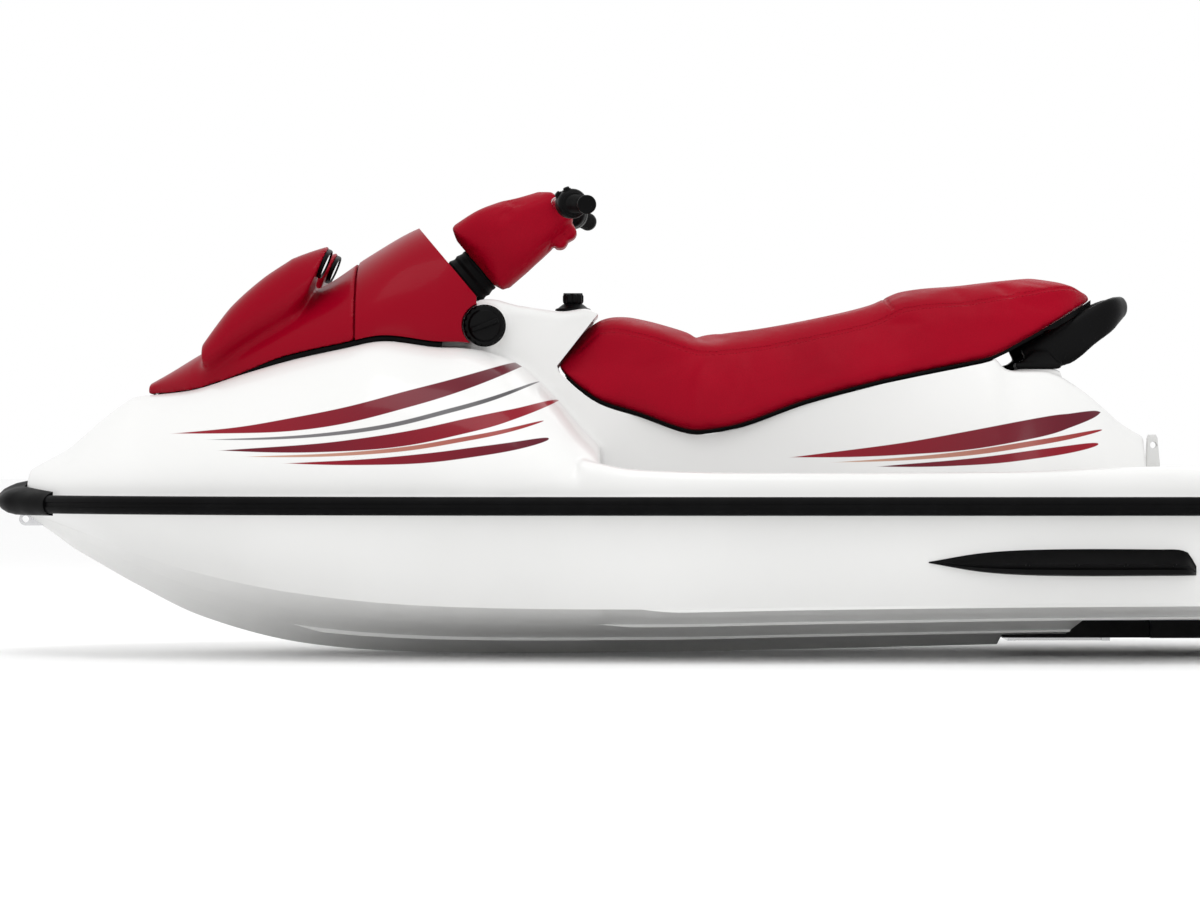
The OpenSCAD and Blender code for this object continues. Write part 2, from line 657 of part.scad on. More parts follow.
// Eyes, post and plugs
module eye_plate(reach, r_out) linear_extrude(eye_t, center = true) difference() {
    union() {
        circle(r = r_out);
        translate([-reach, -r_out]) square([reach, 2 * r_out]);
    }
    circle(r = eye_r);
}
eye_out = 13;
bow_eye_x = at(bow_share) + eye_r + base_t;
bow_eye_z = hull_h - bumper_down - eye_out - 1;
bow_eye_reach = 50;
module bow_eye() color("silver") translate([bow_eye_x, 0, bow_eye_z]) rotate([quarter, 0, 0])
    eye_plate(bow_eye_reach, eye_out);
module eye_slot() translate([bow_eye_x - bow_eye_reach - fit_gap, -eye_t / 2 - fit_gap,
    bow_eye_z - eye_out - fit_gap])
    cube([bow_eye_reach + 2 * eye_out, eye_t + 2 * fit_gap, 2 * eye_out + 2 * fit_gap]);
stern_eye_y = 380;
stern_eye_z = 205;
stern_eye_reach = 18;
stern_eye_out = 11;
module stern_eyes() color("silver") for (k = [-1, 1])
    translate([at(stern_share) - stern_eye_reach + base_t, k * stern_eye_y, stern_eye_z]) {
        rotate([0, 0, half_turn]) eye_plate_flat();
        translate([stern_eye_reach - 2 * base_t - fit_gap, -2 * eye_out, -eye_out - base_t])
            cube([base_t, 4 * eye_out, 2 * eye_out + 2 * base_t]);
    }
module eye_plate_flat() rotate([quarter, 0, 0]) eye_plate(stern_eye_reach - 2 * base_t, stern_eye_out);
post_share = 0.1268;
post_h = 96;
post_w = 30;
post_len = 16;
module tow_post() color("white") translate([at(post_share), 0, platform_h + fit_gap])
    rotate([quarter, 0, 0]) linear_extrude(post_w, center = true) difference() {
        polygon([[-post_len, 0], [post_len, 0], [post_len * 0.72, post_h - eye_r],
            [post_len * 0.5, post_h],
            [-post_len * 0.3, post_h], [-post_len * 0.5, post_h - eye_r]]);
        translate([0, post_h - 3 * eye_r]) circle(r = eye_r);
    }
plug_r = 15;
plug_t = 12;
plug_y = 220;
plug_z = 130;
module drain_plugs() color("dimgray") for (k = [-1, 1])
    translate([at(stern_share) - fit_gap, k * plug_y, plug_z]) rotate([0, -quarter, 0]) {
        cylinder(h = base_t, r = plug_r);
        cylinder(h = plug_t, r = plug_r * 0.7, $fn = 6);
    }

// Hood seal and storage bin
seal_aft_share = 0.65;
seal_fore_share = 0.878;
module hood_seal() color("dimgray") side_pair()
    skin([for (s = within(edge_list, seal_aft_share, seal_fore_share))
        let (y = front_y(s) - move_gap, z = front_z(s) + fit_gap, t = front_z(s) + seal_h - 2)
        ring(s, [[y - seal_w, z], [y, z], [y, t], [y - seal_w, t]])]);
// Height of the deck's facets at any station
deck_line = [for (s = within(edge_list, lip_share, bow_share)) [s, front_z(s)]];
function line_up(l, h) = [for (s = l) [at(s), lookup(s, deck_line) + h]];
function turned(l) = [for (i = [len(l) - 1:-1:0]) l[i]];
rim_list = within(edge_list, bin_aft_share - bin_rim / craft_len, bin_fore_share + bin_rim / craft_len);
module across(y) rotate([quarter, 0, 0]) linear_extrude(2 * y, center = true) children();
module storage_bin() color("dimgray") difference() {
    union() {
        intersection() {
            bin_block(0, bin_top, bin_depth);
            across(craft_w) polygon(concat([[at(bin_aft_share) - bin_rim, 0]],
                line_up(rim_list, fit_gap + bin_wall / 2), [[at(bin_fore_share) + bin_rim, 0]]));
        }
        across(bin_y + bin_rim) polygon(concat(line_up(rim_list, fit_gap),
            turned(line_up(rim_list, fit_gap + bin_wall))));
    }
    bin_block(-bin_wall, bin_top + over, bin_depth + over - bin_wall);
}

// Console and its fittings
face_len = 400;
face_sink = 16;
module console() {
    color("crimson") difference() {
        skin([for (s = stations(cowl_shares, console_aft_share,
            at_share(at(hood_aft_share) - seam_gap), 2))
            ring(s, both(cowl_half(s, 0, 0)))]);
        skin([for (s = stations(cowl_shares, console_aft_share - 0.01,
            at_share(at(hood_aft_share) - seam_gap - cowl_wall), 1))
                ring(s, both(cowl_half(s, cowl_wall, over)))]);
        on_column() translate([-face_len / 2, -face_len / 2, 0]) cube([face_len, face_len, face_len]);
        cap_clearance();
    }
    color("crimson") difference() {
        intersection() {
            skin([for (s = stations(cowl_shares, console_aft_share,
                at_share(at(hood_aft_share) - seam_gap), 2))
                ring(s, both(cowl_half(s, cowl_wall / 2, 0)))]);
            on_column() translate([-face_len / 2, -face_len / 2, -face_sink - cowl_wall])
                cube([face_len, face_len, cowl_wall]);
        }
        on_column() cylinder(h = face_len, r = bearing_r + fit_gap, center = true);
        skin([for (s = even(0.6, 0.68, 5)) ring(s, both(ped_half(s, 1)))]);
        cap_clearance();
    }
}
function at_share(x) = x / craft_len + 0.5;
panel_up = deck_h * 0.2283;
panel_h = deck_h * 0.1538;
panel_w = half_beam * 0.3316;
panel_t = 8;
gauge_r = deck_h * 0.0645;
gauge_y = half_beam * 0.0838;
module gauge_panel() color("dimgray") on_column() translate([panel_up, 0, fit_gap - face_sink]) {
    translate([-panel_h / 2, -panel_w / 2, 0]) cube([panel_h, panel_w, panel_t]);
    for (k = [-1, 1]) translate([0, k * gauge_y, 0]) cylinder(h = panel_t + base_t, r = gauge_r);
}
bearing_r = 26;
bearing_len = 110;
collar_r = 40;
collar_t = 8;
module column_bearing() color("dimgray") on_column() difference() {
    union() {
        translate([0, 0, -bearing_len]) cylinder(h = bearing_len + boot_len / 2, r = bearing_r);
        translate([0, 0, fit_gap - face_sink]) cylinder(h = collar_t, r = collar_r);
    }
    translate([0, 0, -bearing_len - over]) cylinder(h = 2 * bearing_len, r = stem_r + run_gap);
}
boot_wall = 8;
fold_share = 0.9;
module column_boot() color("dimgray") on_column() translate([0, 0,
    fit_gap - face_sink]) rotate_extrude() difference() {
    polygon([[collar_r + fit_gap, 0], [boot_r, 0], [boot_r * fold_share, boot_len * 0.25],
        [boot_r * 0.98, boot_len * 0.45], [boot_r * fold_share * 0.95, boot_len * 0.65],
        [boot_r * 0.92, boot_len], [stem_r + move_gap, boot_len],
            [stem_r + move_gap, boot_len - boot_wall],
        [collar_r + fit_gap, boot_len - boot_wall]]);
}
flutes = 14;
module cap_clearance() translate([at(cap_share), 0, cap_z]) rotate([-quarter, 0, 0])
    cylinder(h = craft_w / 2, r = cap_r + pad_h + fit_gap);
module fuel_cap() color("dimgray") translate([at(cap_share), neck_y + fit_gap, cap_z])
    rotate([-quarter, 0, 0])
    difference() {
        union() {
            cylinder(h = cap_t, r = cap_r);
            cylinder(h = cap_t + base_t, r = cap_r * 0.7);
        }
        for (k = [0:flutes - 1]) rotate([0, 0, 360 * k / flutes]) translate([cap_r, 0, base_t])
            cylinder(h = cap_t, r = base_t);
    }
module selector_knob() color("dimgray") translate([at(knob_share), 0, knob_z + fit_gap]) {
    cylinder(h = base_t, r = knob_r);
    cylinder(h = 2 * base_t, r1 = knob_r * 0.75, r2 = knob_r * 0.5);
    cylinder(h = 5 * base_t, r = knob_r * 0.36);
    translate([-knob_r * 0.6, -base_t, 3 * base_t]) cube([knob_r * 1.2, 2 * base_t, 3 * base_t]);
}

// Grab handle behind the seat
arm_w = 34;
GRAB_TOP = 1;
GRAB_Y = 2;
GRAB_DROP = 3;
grab_shares = [[0.228, 0.734, 0.250, 0.02], [0.203, 0.832, 0.245, 0.11], [0.180, 0.920, 0.225, 0.088],
    [0.163, 0.982, 0.190, 0.07], [0.1545, 0.995, 0.110, 0.03]];
module grab_end(i, k) for (d = [0, 1])
    translate([at(grab_shares[i][STATION]), k * half_beam * grab_shares[i][GRAB_Y],
        deck_z(grab_shares[i][GRAB_TOP] - d * grab_shares[i][GRAB_DROP])]) sphere(r = grab_r, $fn = 12);
module grab_handle() color("dimgray") {
    for (k = [-1, 1]) {
        hull() {
            translate([at(handle_aft_share), k * (handle_in + handle_out) / 2 - arm_w,
                handle_z + fit_gap])
                cube([at(handle_fore_share) - at(handle_aft_share), 2 * arm_w, base_t]);
            grab_end(0, k);
            grab_end(1, k);
        }
        for (i = [1:3]) hull() {
            grab_end(i, k);
            grab_end(i + 1, k);
        }
    }
    hull() for (k = [-1, 1]) grab_end(4, k);
}

// Traction mats
mat_edge = 12;
mat_aft_share = 0.178;
mat_fore_share = 0.535;
mat_list = stations(ped_shares, mat_aft_share, mat_fore_share, 1);
module footwell_mats() color("dimgray") side_pair()
    translate([0, 0, floor_h + fit_gap]) linear_extrude(mat_t)
    polygon(concat([for (s = mat_list) [at(s), ped_foot(s) + mat_edge]],
        [for (i = [len(mat_list) - 1:-1:0]) let (s = mat_list[i]) [at(s), gunwale_in(s) - mat_edge]]));
mat_half = 330;
module platform_mat() color("dimgray") translate([0, 0, platform_h + fit_gap]) linear_extrude(mat_t)
    polygon([for (p = [[0.02, 0.9], [0.035, 1], [0.105, 1], [0.105, -1], [0.035, -1], [0.02, -0.9]])
        [at(p[0]), p[1] * mat_half]]);

// Sponsons
sponson_z = 194;
sponson_shares = [[0.118, 0.10, 0.35], [0.125, 0.75, 0.90], [0.145, 1.00, 1.00], [0.225, 1.00, 1.00],
    [0.270, 0.62, 0.75], [0.310, 0.08, 0.25]];
function sponson_ring(r) = let (s = r[0], w = sponson_w * r[1], h = sponson_h / 2 * r[2], z = sponson_z)
    [[side_y(s, z - h) + fit_gap, z - h], [side_y(s, z - h) + w, z - h],
        [side_y(s, z - h) + w, z - h * 0.55],
     [side_y(s, z) + w * 0.6, z + h * 0.2], [side_y(s, z + h) + 1, z + h], [side_y(s, z) + side_gap, z]];
side_gap = 0.6;
module sponson() color("dimgray") skin([for (r = sponson_shares) ring(r[0], sponson_ring(r))]);
module sponson_port() sponson();
module sponson_starboard() mirror([0, 1, 0]) sponson();

// Engine: one plain block on its beds
module engine() color("gray") translate([at(engine_share) - engine_len / 2, -engine_w / 2,
    engine_foot + fit_gap])
    cube([engine_len, engine_w, engine_h]);

// Jet pump, along the pump axis toward the stern
pump_fore_share = 0.135;
pump_x = at(pump_fore_share);
shoe_foot = 34;
shoe_fore = at(tunnel_share) - 2 * fit_gap;
duct_y = 72;
duct_fore = at(0.233);
duct_aft = at(0.168);
module on_pump() translate([pump_x, 0, pump_z]) rotate([0, -quarter, 0]) children();
module intake_shoe() color("dimgray") difference() {
    translate([pump_x, -tunnel_y + fit_gap, shoe_foot])
        cube([shoe_fore - pump_x, 2 * (tunnel_y - fit_gap), tunnel_top - shoe_foot - fit_gap]);
    hull() {
        translate([duct_aft, -duct_y, shoe_foot - over])
            cube([duct_fore - duct_aft, 2 * duct_y, over + 1]);
        translate([pump_x - over, 0, pump_z]) rotate([0, quarter, 0]) cylinder(h = 2 * over, r = pump_r);
    }
    translate([shoe_fore + over, 0, pump_z]) rotate([0, -quarter, 0])
        cylinder(h = shoe_fore - pump_x, r = shaft_r + run_gap);
}
bar_count = 4;
grate_bar = 8;
module intake_grate() color("silver") {
    for (k = [0:bar_count - 1]) translate([duct_aft,
        mix(-duct_y, duct_y, (k + 0.5) / bar_count) - grate_bar / 2,
        shoe_foot - grate_bar - fit_gap]) cube([duct_fore - duct_aft, grate_bar, grate_bar]);
    for (x = [duct_aft - 2 * grate_bar, duct_fore])
        translate([x, -duct_y, shoe_foot - grate_bar - fit_gap])
        cube([2 * grate_bar, 2 * duct_y, grate_bar]);
}
plate_t = 12;
plate_aft_share = 0.02;
web_w = 24;
module ride_plate() color("dimgray") {
    translate([at(plate_aft_share), -tunnel_y - web_w, shoe_foot])
        cube([pump_x - fit_gap - at(plate_aft_share), 2 * (tunnel_y + web_w), plate_t]);
    for (k = [-1, 1]) translate([at(plate_aft_share), k * (tunnel_y + web_w / 2) - web_w / 2, shoe_foot])
        cube([pump_x - fit_gap - at(plate_aft_share), web_w, notch_z - shoe_foot - fit_gap]);
}
hub_r = 30;
vanes = 6;
vane_t = 5;
hub_start = 96;
ear_t = 8;
ear_gap = 5;
pivot_back = 246;
nozzle_r = 64;
nozzle_wall = 7;
boss_r = 15;
pump_flange_r = 91;
pump_flange_t = 12;
boss_top = nozzle_r + nozzle_wall + 3;
module pump_housing() color("slategray") {
    on_pump() {
        rotate_extrude() polygon([[pump_r, fit_gap], [pump_flange_r, fit_gap],
            [pump_flange_r, pump_flange_t], [pump_r + pump_wall, pump_flange_t],
            [pump_r + pump_wall, barrel_len], [outlet_r + base_t, barrel_len + taper_len * 0.7],
            [outlet_r + base_t, barrel_len + taper_len], [outlet_r, barrel_len + taper_len],
            [outlet_r, barrel_len + taper_len * 0.7], [pump_r, barrel_len]]);
        translate([0, 0, hub_start]) cylinder(h = barrel_len - hub_start, r = hub_r);
        translate([0, 0, barrel_len]) cylinder(h = taper_len * 0.6, r1 = hub_r, r2 = hub_r / 3);
        for (k = [0:vanes - 1]) rotate([0, 0, 360 * k / vanes])
            translate([hub_r / 2, -vane_t / 2, hub_start + over])
            cube([pump_r - hub_r / 2 + pump_wall / 2, vane_t, barrel_len - hub_start - 2 * over]);
    }
    for (k = [-1, 1]) translate([pump_x, 0, pump_z]) {
        translate([-pivot_back - boss_r, -boss_r, k * (boss_top + ear_gap + ear_t / 2) - ear_t / 2])
            cube([pivot_back + boss_r - barrel_len + 2 * over, 2 * boss_r, ear_t]);
        translate([-pivot_back, 0,
            k * (boss_top - nozzle_wall) - ((k > 0) ? 0 : ear_gap + ear_t + nozzle_wall)])
            cylinder(h = ear_gap + ear_t + nozzle_wall, r = pivot_r);
    }
}
nozzle_lead = 14;
module nozzle() color("dimgray") difference() {
    union() {
        translate([pump_x - pivot_back + nozzle_lead, 0, pump_z])
            rotate([0, -quarter, 0]) rotate_extrude()
            polygon([[nozzle_r, 0], [nozzle_r + nozzle_wall, 0],
                [nozzle_r + nozzle_wall, 2 * nozzle_lead],
                [outlet_r + nozzle_wall, nozzle_len], [outlet_r, nozzle_len],
                    [nozzle_r, 2 * nozzle_lead]]);
        for (k = [-1, 1]) translate([pump_x - pivot_back, 0,
            pump_z + k * (boss_top - nozzle_wall / 2 - over)])
            cylinder(h = nozzle_wall + 2 * over, r = boss_r, center = true);
    }
    translate([pump_x - pivot_back, 0, pump_z]) cylinder(h = 4 * nozzle_r, r = pivot_r + run_gap,
        center = true);
    translate([pump_x - pivot_back + nozzle_lead + over, 0, pump_z]) rotate([0, -quarter, 0])
        cylinder(h = 2 * nozzle_lead + over, r = nozzle_r);
}
blades = 3;
blade_t = 5;
blade_len = 62;
tip_gap = 3;
blade_twist = 110;
blade_start = 16;
module impeller() color("silver") on_pump() {
    translate([0, 0, blade_start]) cylinder(h = hub_start - blade_start - over, r = hub_r);
    translate([0, 0, pump_x - shoe_fore + over]) cylinder(h = shoe_fore - pump_x + blade_start,
        r = shaft_r);
    for (k = [0:blades - 1]) rotate([0, 0, 360 * k / blades]) translate([0, 0, blade_start + over])
        linear_extrude(blade_len, twist = blade_twist, slices = 8, $fn = 8)
            translate([hub_r / 2, -blade_t / 2]) square([pump_r - tip_gap - hub_r / 2, blade_t]);
}

// Hood with its mirror pods
pod_y = 165;
pod_shares = [
    [0.842, 0.765, 0.045, 0.080], [0.832, 0.845, 0.080, 0.130], [0.8195, 0.940, 0.105, 0.170],
    [0.797, 1.063, 0.125, 0.210], [0.776, 1.152, 0.135, 0.230], [0.757, 1.236, 0.138, 0.235]];
pod_disc = 2;
pod_lean_share = 0.06695;
pod_tilt = -atan(pod_lean_share * craft_len / deck_h);
module pod_slice(r, tilt) translate([at(r[0]), pod_y, deck_z(r[1] - r[3] / 2)])
    rotate([0, quarter + tilt, 0])
    scale([deck_h * r[3] * 0.75, half_beam * r[2], 1]) cylinder(h = pod_disc, r = 1, $fn = 20);
module pod() for (i = [0:len(pod_shares) - 2]) hull() {
    pod_slice(pod_shares[i], 0);
    pod_slice(pod_shares[i + 1], (i == len(pod_shares) - 2) ? pod_tilt : 0);
}
module hood() color("crimson") difference() {
    union() {
        skin([for (s = stations(cowl_shares, hood_aft_share, hood_tip_share, 2))
            ring(s, both(cowl_half(s, 0, 0)))]);
        side_pair() pod();
    }
    skin([for (s = stations(cowl_shares, hood_aft_share - 0.01, hood_tip_share - 0.004, 1))
        ring(s, both(cowl_half(s, cowl_wall, over)))]);
}
mirror_row = pod_shares[len(pod_shares) - 1];
mirror_drop = 38;
module on_mirror() side_pair() translate([at(mirror_row[0]), pod_y,
    deck_z(mirror_row[1] - mirror_row[3] / 2)])
    rotate([0, quarter + pod_tilt, 0]) translate([mirror_drop - deck_h * mirror_row[3] * 0.75, 0,
        0]) children();
mirror_t = 4;
mirror_y_share = 1.6;
module mirror_plate(r, t) linear_extrude(t)
    polygon([for (k = [0:31]) [r * 0.86 * cos(360 * k / 32), r * mirror_y_share * sin(360 * k / 32)]]);
module mirror_frames() color("dimgray") on_mirror() translate([0, 0, -mirror_t - fit_gap])
    mirror_plate(mirror_r, mirror_t);
module mirror_glass() color("silver") on_mirror() translate([0, 0, -2 * mirror_t - 2 * fit_gap])
    mirror_plate(mirror_r * 0.86, mirror_t);
knuckle_len = 36;
knuckle_r = 9;
module hood_pin() color("silver") translate([hood_pin_x, 0, hood_pin_z]) rotate([quarter, 0, 0])
    cylinder(h = hood_pin_len - fit_gap, r = hood_pin_r, center = true);
module hood_knuckle() color("dimgray") translate([hood_pin_x, 0, hood_pin_z])
    rotate([quarter, 0, 0]) difference() {
    cylinder(h = knuckle_len, r = knuckle_r, center = true);
    cylinder(h = 2 * knuckle_len, r = hood_pin_r + run_gap, center = true);
}

// Seat
module seat_cushion() color("crimson")
    skin([for (s = stations(seat_shares, seat_tail_share, seat_nose_share, 2))
        ring(s, both(seat_half(s)))]);
module seat_base() color("dimgray") rotate([quarter, 0, 0]) linear_extrude(2 * seat_base_y, center = true)
    polygon(concat([for (s = stations(seat_shares, base_tail_share, base_nose_share, 2)) [at(s),
        seat_bottom(s)]],
        let (l = stations(seat_shares, base_tail_share, base_nose_share, 2))
            [for (i = [len(l) - 1:-1:0]) [at(l[i]), seat_bottom(l[i]) + seat_base_t - fit_gap]]));

// Handlebar, on the column frame
bar_up = -20;
module steering_stem() color("silver") on_column() {
    translate([0, 0, -bearing_len]) cylinder(h = bearing_len + bar_reach - bar_r - fit_gap, r = stem_r);
}
function bar_point(k) = [bar_up - bar_sweep * 0.5, k * bar_half, bar_reach + bar_sweep * 0.55];
function bar_dir() = unit(bar_point(1) - [bar_up * 0, bar_mid, bar_reach]);
module bar_leg(r, from, len, k) translate([0, k * bar_mid, bar_reach])
    rotate([0, 0, 0]) multmatrix(leg_matrix(k)) translate([0, 0, from]) cylinder(h = len, r = r);
function leg_dir(k) = let (d = bar_dir()) [d[0], k * d[1], d[2]];
function leg_matrix(k) = let (w = leg_dir(k), u = unit(cross([0, 0, 1], w)), v = cross(w, u))
    [[u[0], v[0], w[0], 0], [u[1], v[1], w[1], 0], [u[2], v[2], w[2], 0], [0, 0, 0, 1]];
leg_len = norm(bar_point(1) - [0, bar_mid, bar_reach]);
module handlebar() color("silver") on_column() {
    translate([0, 0, bar_reach]) rotate([quarter, 0, 0])
        cylinder(h = 2 * bar_mid, r = bar_r, center = true);
    for (k = [-1, 1]) {
        translate([0, k * bar_mid, bar_reach]) sphere(r = bar_r * 1.08);
        bar_leg(bar_r, 0, leg_len - grip_len, k);
    }
}
module grips() color("dimgray") on_column() for (k = [-1, 1]) {
    bar_leg(grip_r, leg_len - grip_len + fit_gap, grip_len, k);
    bar_leg(grip_r * 1.25, leg_len - grip_len + fit_gap, base_t, k);
}
housing_len = 46;
housing_r = 30;
module switch_housing() color("dimgray") on_column() difference() {
    bar_leg(housing_r, leg_len - grip_len - housing_len - 1, housing_len, 1);
    bar_leg(bar_r + fit_gap, 0, leg_len, 1);
}
lever_t = 8;
lever_out = 40;
module throttle_lever() color("dimgray") on_column() difference() {
    union() {
        bar_leg(housing_r, leg_len - grip_len - housing_len - 1, housing_len, -1);
        translate([0, -bar_mid, bar_reach]) multmatrix(leg_matrix(-1))
            translate([-lever_t / 2, -lever_out - lever_t, leg_len - grip_len - housing_len]) {
                cube([lever_t, lever_out, housing_len / 2]);
                cube([lever_t, lever_t, housing_len + grip_len * 0.6]);
            }
    }
    bar_leg(bar_r + fit_gap, 0, leg_len, -1);
}
pad_start = 45;
pad_shares = [[0.0, 0.49, -0.31, 0.34], [0.35, 0.44, -0.29, 0.38], [0.7, 0.27, -0.27, 0.40],
    [1.0, 0.15, -0.22, 0.38]];
module bar_pad() color("crimson") on_column() difference() {
    hull() for (r = pad_shares) translate([pad_len * r[2], -pad_len * r[3],
        pad_start + pad_len * r[0] * 0.98])
        cube([pad_len * (r[1] - r[2]), 2 * pad_len * r[3], 1]);
    translate([0, 0, -over]) cylinder(h = bar_reach, r = stem_r + fit_gap);
    translate([0, 0, bar_reach]) rotate([quarter, 0, 0])
        cylinder(h = craft_w, r = bar_r + fit_gap, center = true);
}

afloat() hull_moulding();
afloat() deck_moulding();
afloat() front_deck();
afloat() rub_rail();
afloat() bow_bumper();
afloat() bow_eye();
afloat() hood_seal();
afloat() storage_bin();
afloat() console();
afloat() gauge_panel();
afloat() column_bearing();
afloat() column_boot();
afloat() fuel_cap();
afloat() selector_knob();
afloat() grab_handle();
afloat() tow_post();
afloat() footwell_mats();
afloat() platform_mat();
afloat() sponson_port();
afloat() sponson_starboard();
afloat() stern_eyes();
afloat() drain_plugs();
afloat() engine();
afloat() intake_shoe();
afloat() intake_grate();
afloat() ride_plate();
afloat() pump_housing();
afloat() hood_pin();
afloat() hood();
afloat() mirror_frames();
afloat() mirror_glass();
afloat() hood_knuckle();
afloat() seat_cushion();
afloat() seat_base();
afloat() steering_stem();
afloat() handlebar();
afloat() grips();
afloat() bar_pad();
afloat() switch_housing();
afloat() throttle_lever();
afloat() nozzle();
afloat() impeller();
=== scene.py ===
"""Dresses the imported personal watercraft: smooth mouldings, padded seat, trim, finishes and a plain stage."""
import math

import bmesh
import bpy
from bpy.props import FloatProperty, FloatVectorProperty, PointerProperty
from mathutils import Matrix, Vector
from mathutils.bvhtree import BVHTree
from mathutils.kdtree import KDTree


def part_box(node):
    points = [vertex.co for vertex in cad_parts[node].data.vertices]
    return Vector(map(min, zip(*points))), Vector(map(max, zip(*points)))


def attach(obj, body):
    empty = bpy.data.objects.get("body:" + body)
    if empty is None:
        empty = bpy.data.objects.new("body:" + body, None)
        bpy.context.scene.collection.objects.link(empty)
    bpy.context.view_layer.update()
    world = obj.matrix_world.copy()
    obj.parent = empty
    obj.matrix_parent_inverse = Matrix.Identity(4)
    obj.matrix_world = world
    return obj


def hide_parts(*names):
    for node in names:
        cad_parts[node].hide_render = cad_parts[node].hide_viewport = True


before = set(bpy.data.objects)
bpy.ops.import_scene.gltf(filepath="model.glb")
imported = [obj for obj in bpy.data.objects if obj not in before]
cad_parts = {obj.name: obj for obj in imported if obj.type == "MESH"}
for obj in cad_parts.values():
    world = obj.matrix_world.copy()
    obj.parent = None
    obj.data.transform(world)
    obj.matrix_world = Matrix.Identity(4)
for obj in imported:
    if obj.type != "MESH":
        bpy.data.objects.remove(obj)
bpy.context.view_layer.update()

bl_info = {
    "name": "Watercraft Dresser",
    "version": (1, 0, 0),
    "blender": (4, 5, 0),
    "location": "View3D > Sidebar > Watercraft",
    "description": "Builds the visible pieces and finishes of a sit-down personal watercraft",
    "category": "Object",
}

KEEL = -0.18
CRAFT_LENGTH = 2.68

# Station, keel height, chine half width, chine height, flange half width
HULL = (
    (0.0085, 0.0797, 0.790, 0.3841, 0.850), (0.0200, 0.0797, 0.862, 0.3841, 0.935),
    (0.0600, 0.0768, 0.885, 0.3812, 0.975), (0.1500, 0.0672, 0.890, 0.3764, 0.992),
    (0.2420, 0.0528, 0.890, 0.3707, 1.000), (0.3940, 0.0202, 0.885, 0.3553, 1.000),
    (0.5110, 0.0000, 0.862, 0.3380, 0.993), (0.6740, 0.0000, 0.765, 0.3572, 0.945),
    (0.7730, 0.0663, 0.620, 0.4369, 0.868), (0.8480, 0.2449, 0.440, 0.5666, 0.745),
    (0.8980, 0.4638, 0.290, 0.6962, 0.615), (0.9260, 0.6059, 0.190, 0.7826, 0.510),
    (0.9440, 0.6991, 0.125, 0.8354, 0.425), (0.9620, 0.8162, 0.062, 0.8882, 0.320),
    (0.9760, 0.8930, 0.025, 0.9219, 0.210))
# Station, top height, half width of the flat top
FRONT = (
    (0.545, 0.2792, 0.460), (0.560, 0.3821, 0.420), (0.580, 0.5366, 0.400), (0.606, 0.6911, 0.400),
    (0.631, 0.7529, 0.420), (0.648, 0.7683, 0.460), (0.667, 0.7714, 0.485), (0.705, 0.8002, 0.505),
    (0.735, 0.7632, 0.490), (0.773, 0.7096, 0.440), (0.811, 0.6396, 0.370), (0.848, 0.5675, 0.255),
    (0.886, 0.5413, 0.070), (0.898, 0.5309, 0.030), (0.924, 0.4053, 0.020), (0.944, 0.2889, 0.012),
    (0.962, 0.2199, 0.010), (0.976, 0.1707, 0.010))
# Station, crown height
COWL = (
    (0.630, 1.4428), (0.650, 1.4325), (0.682, 1.3810), (0.720, 1.2368), (0.746, 1.1184),
    (0.773, 1.0206), (0.803, 0.8970), (0.844, 0.7589), (0.870, 0.6567), (0.886, 0.5978))
# Station, top height, half width at the top and at the foot, power of the flare
PEDESTAL = (
    (0.1427, 0.3310, 0.430, 0.675, 0.95), (0.1600, 0.4000, 0.430, 0.690, 0.85),
    (0.1750, 0.4880, 0.430, 0.690, 0.85), (0.1907, 0.5730, 0.425, 0.690, 0.85),
    (0.2114, 0.6500, 0.420, 0.690, 0.85), (0.2450, 0.6653, 0.420, 0.670, 0.90),
    (0.2540, 0.7271, 0.415, 0.660, 0.95), (0.2730, 0.7168, 0.408, 0.640, 1.00),
    (0.3180, 0.6705, 0.380, 0.570, 1.20), (0.3710, 0.5984, 0.340, 0.490, 1.50),
    (0.4240, 0.4851, 0.313, 0.430, 1.70), (0.4580, 0.4233, 0.300, 0.410, 1.80),
    (0.4850, 0.4336, 0.300, 0.410, 1.80), (0.5150, 0.5263, 0.300, 0.420, 1.70),
    (0.5450, 0.9331, 0.295, 0.425, 1.60), (0.5760, 0.9557, 0.300, 0.430, 1.60),
    (0.6060, 0.9846, 0.310, 0.425, 1.60), (0.6350, 1.0124, 0.320, 0.420, 1.60),
    (0.6670, 0.8558, 0.320, 0.420, 1.60))
# Station, gunwale height
GUNWALE = (
    (0.0085, 0.1247), (0.0900, 0.1607), (0.1300, 0.1916), (0.2500, 0.1659), (0.4000, 0.1607),
    (0.5200, 0.1762), (0.5600, 0.2277))
# Station, bottom and top heights, half width at the bottom and at the shoulder
SEAT = (
    (0.176, 1.0000, 1.0360, 0.130, 0.100), (0.185, 0.9640, 1.0875, 0.215, 0.190),
    (0.193, 0.9331, 1.1164, 0.260, 0.235), (0.205, 0.8867, 1.1236, 0.300, 0.270),
    (0.230, 0.7940, 1.1133, 0.345, 0.300), (0.254, 0.7117, 1.0978, 0.370, 0.310),
    (0.273, 0.6808, 1.0824, 0.370, 0.310), (0.318, 0.6200, 1.0515, 0.365, 0.300),
    (0.341, 0.5850, 0.9846, 0.355, 0.290), (0.394, 0.4903, 0.9032, 0.335, 0.260),
    (0.439, 0.3821, 0.8538, 0.325, 0.235), (0.470, 0.3451, 0.8404, 0.320, 0.225),
    (0.485, 0.3574, 0.8713, 0.318, 0.225), (0.515, 0.4295, 0.9279, 0.312, 0.230),
    (0.545, 0.4933, 0.9382, 0.300, 0.235), (0.563, 0.5726, 0.8043, 0.290, 0.240),
    (0.576, 0.6550, 0.7220, 0.280, 0.235))
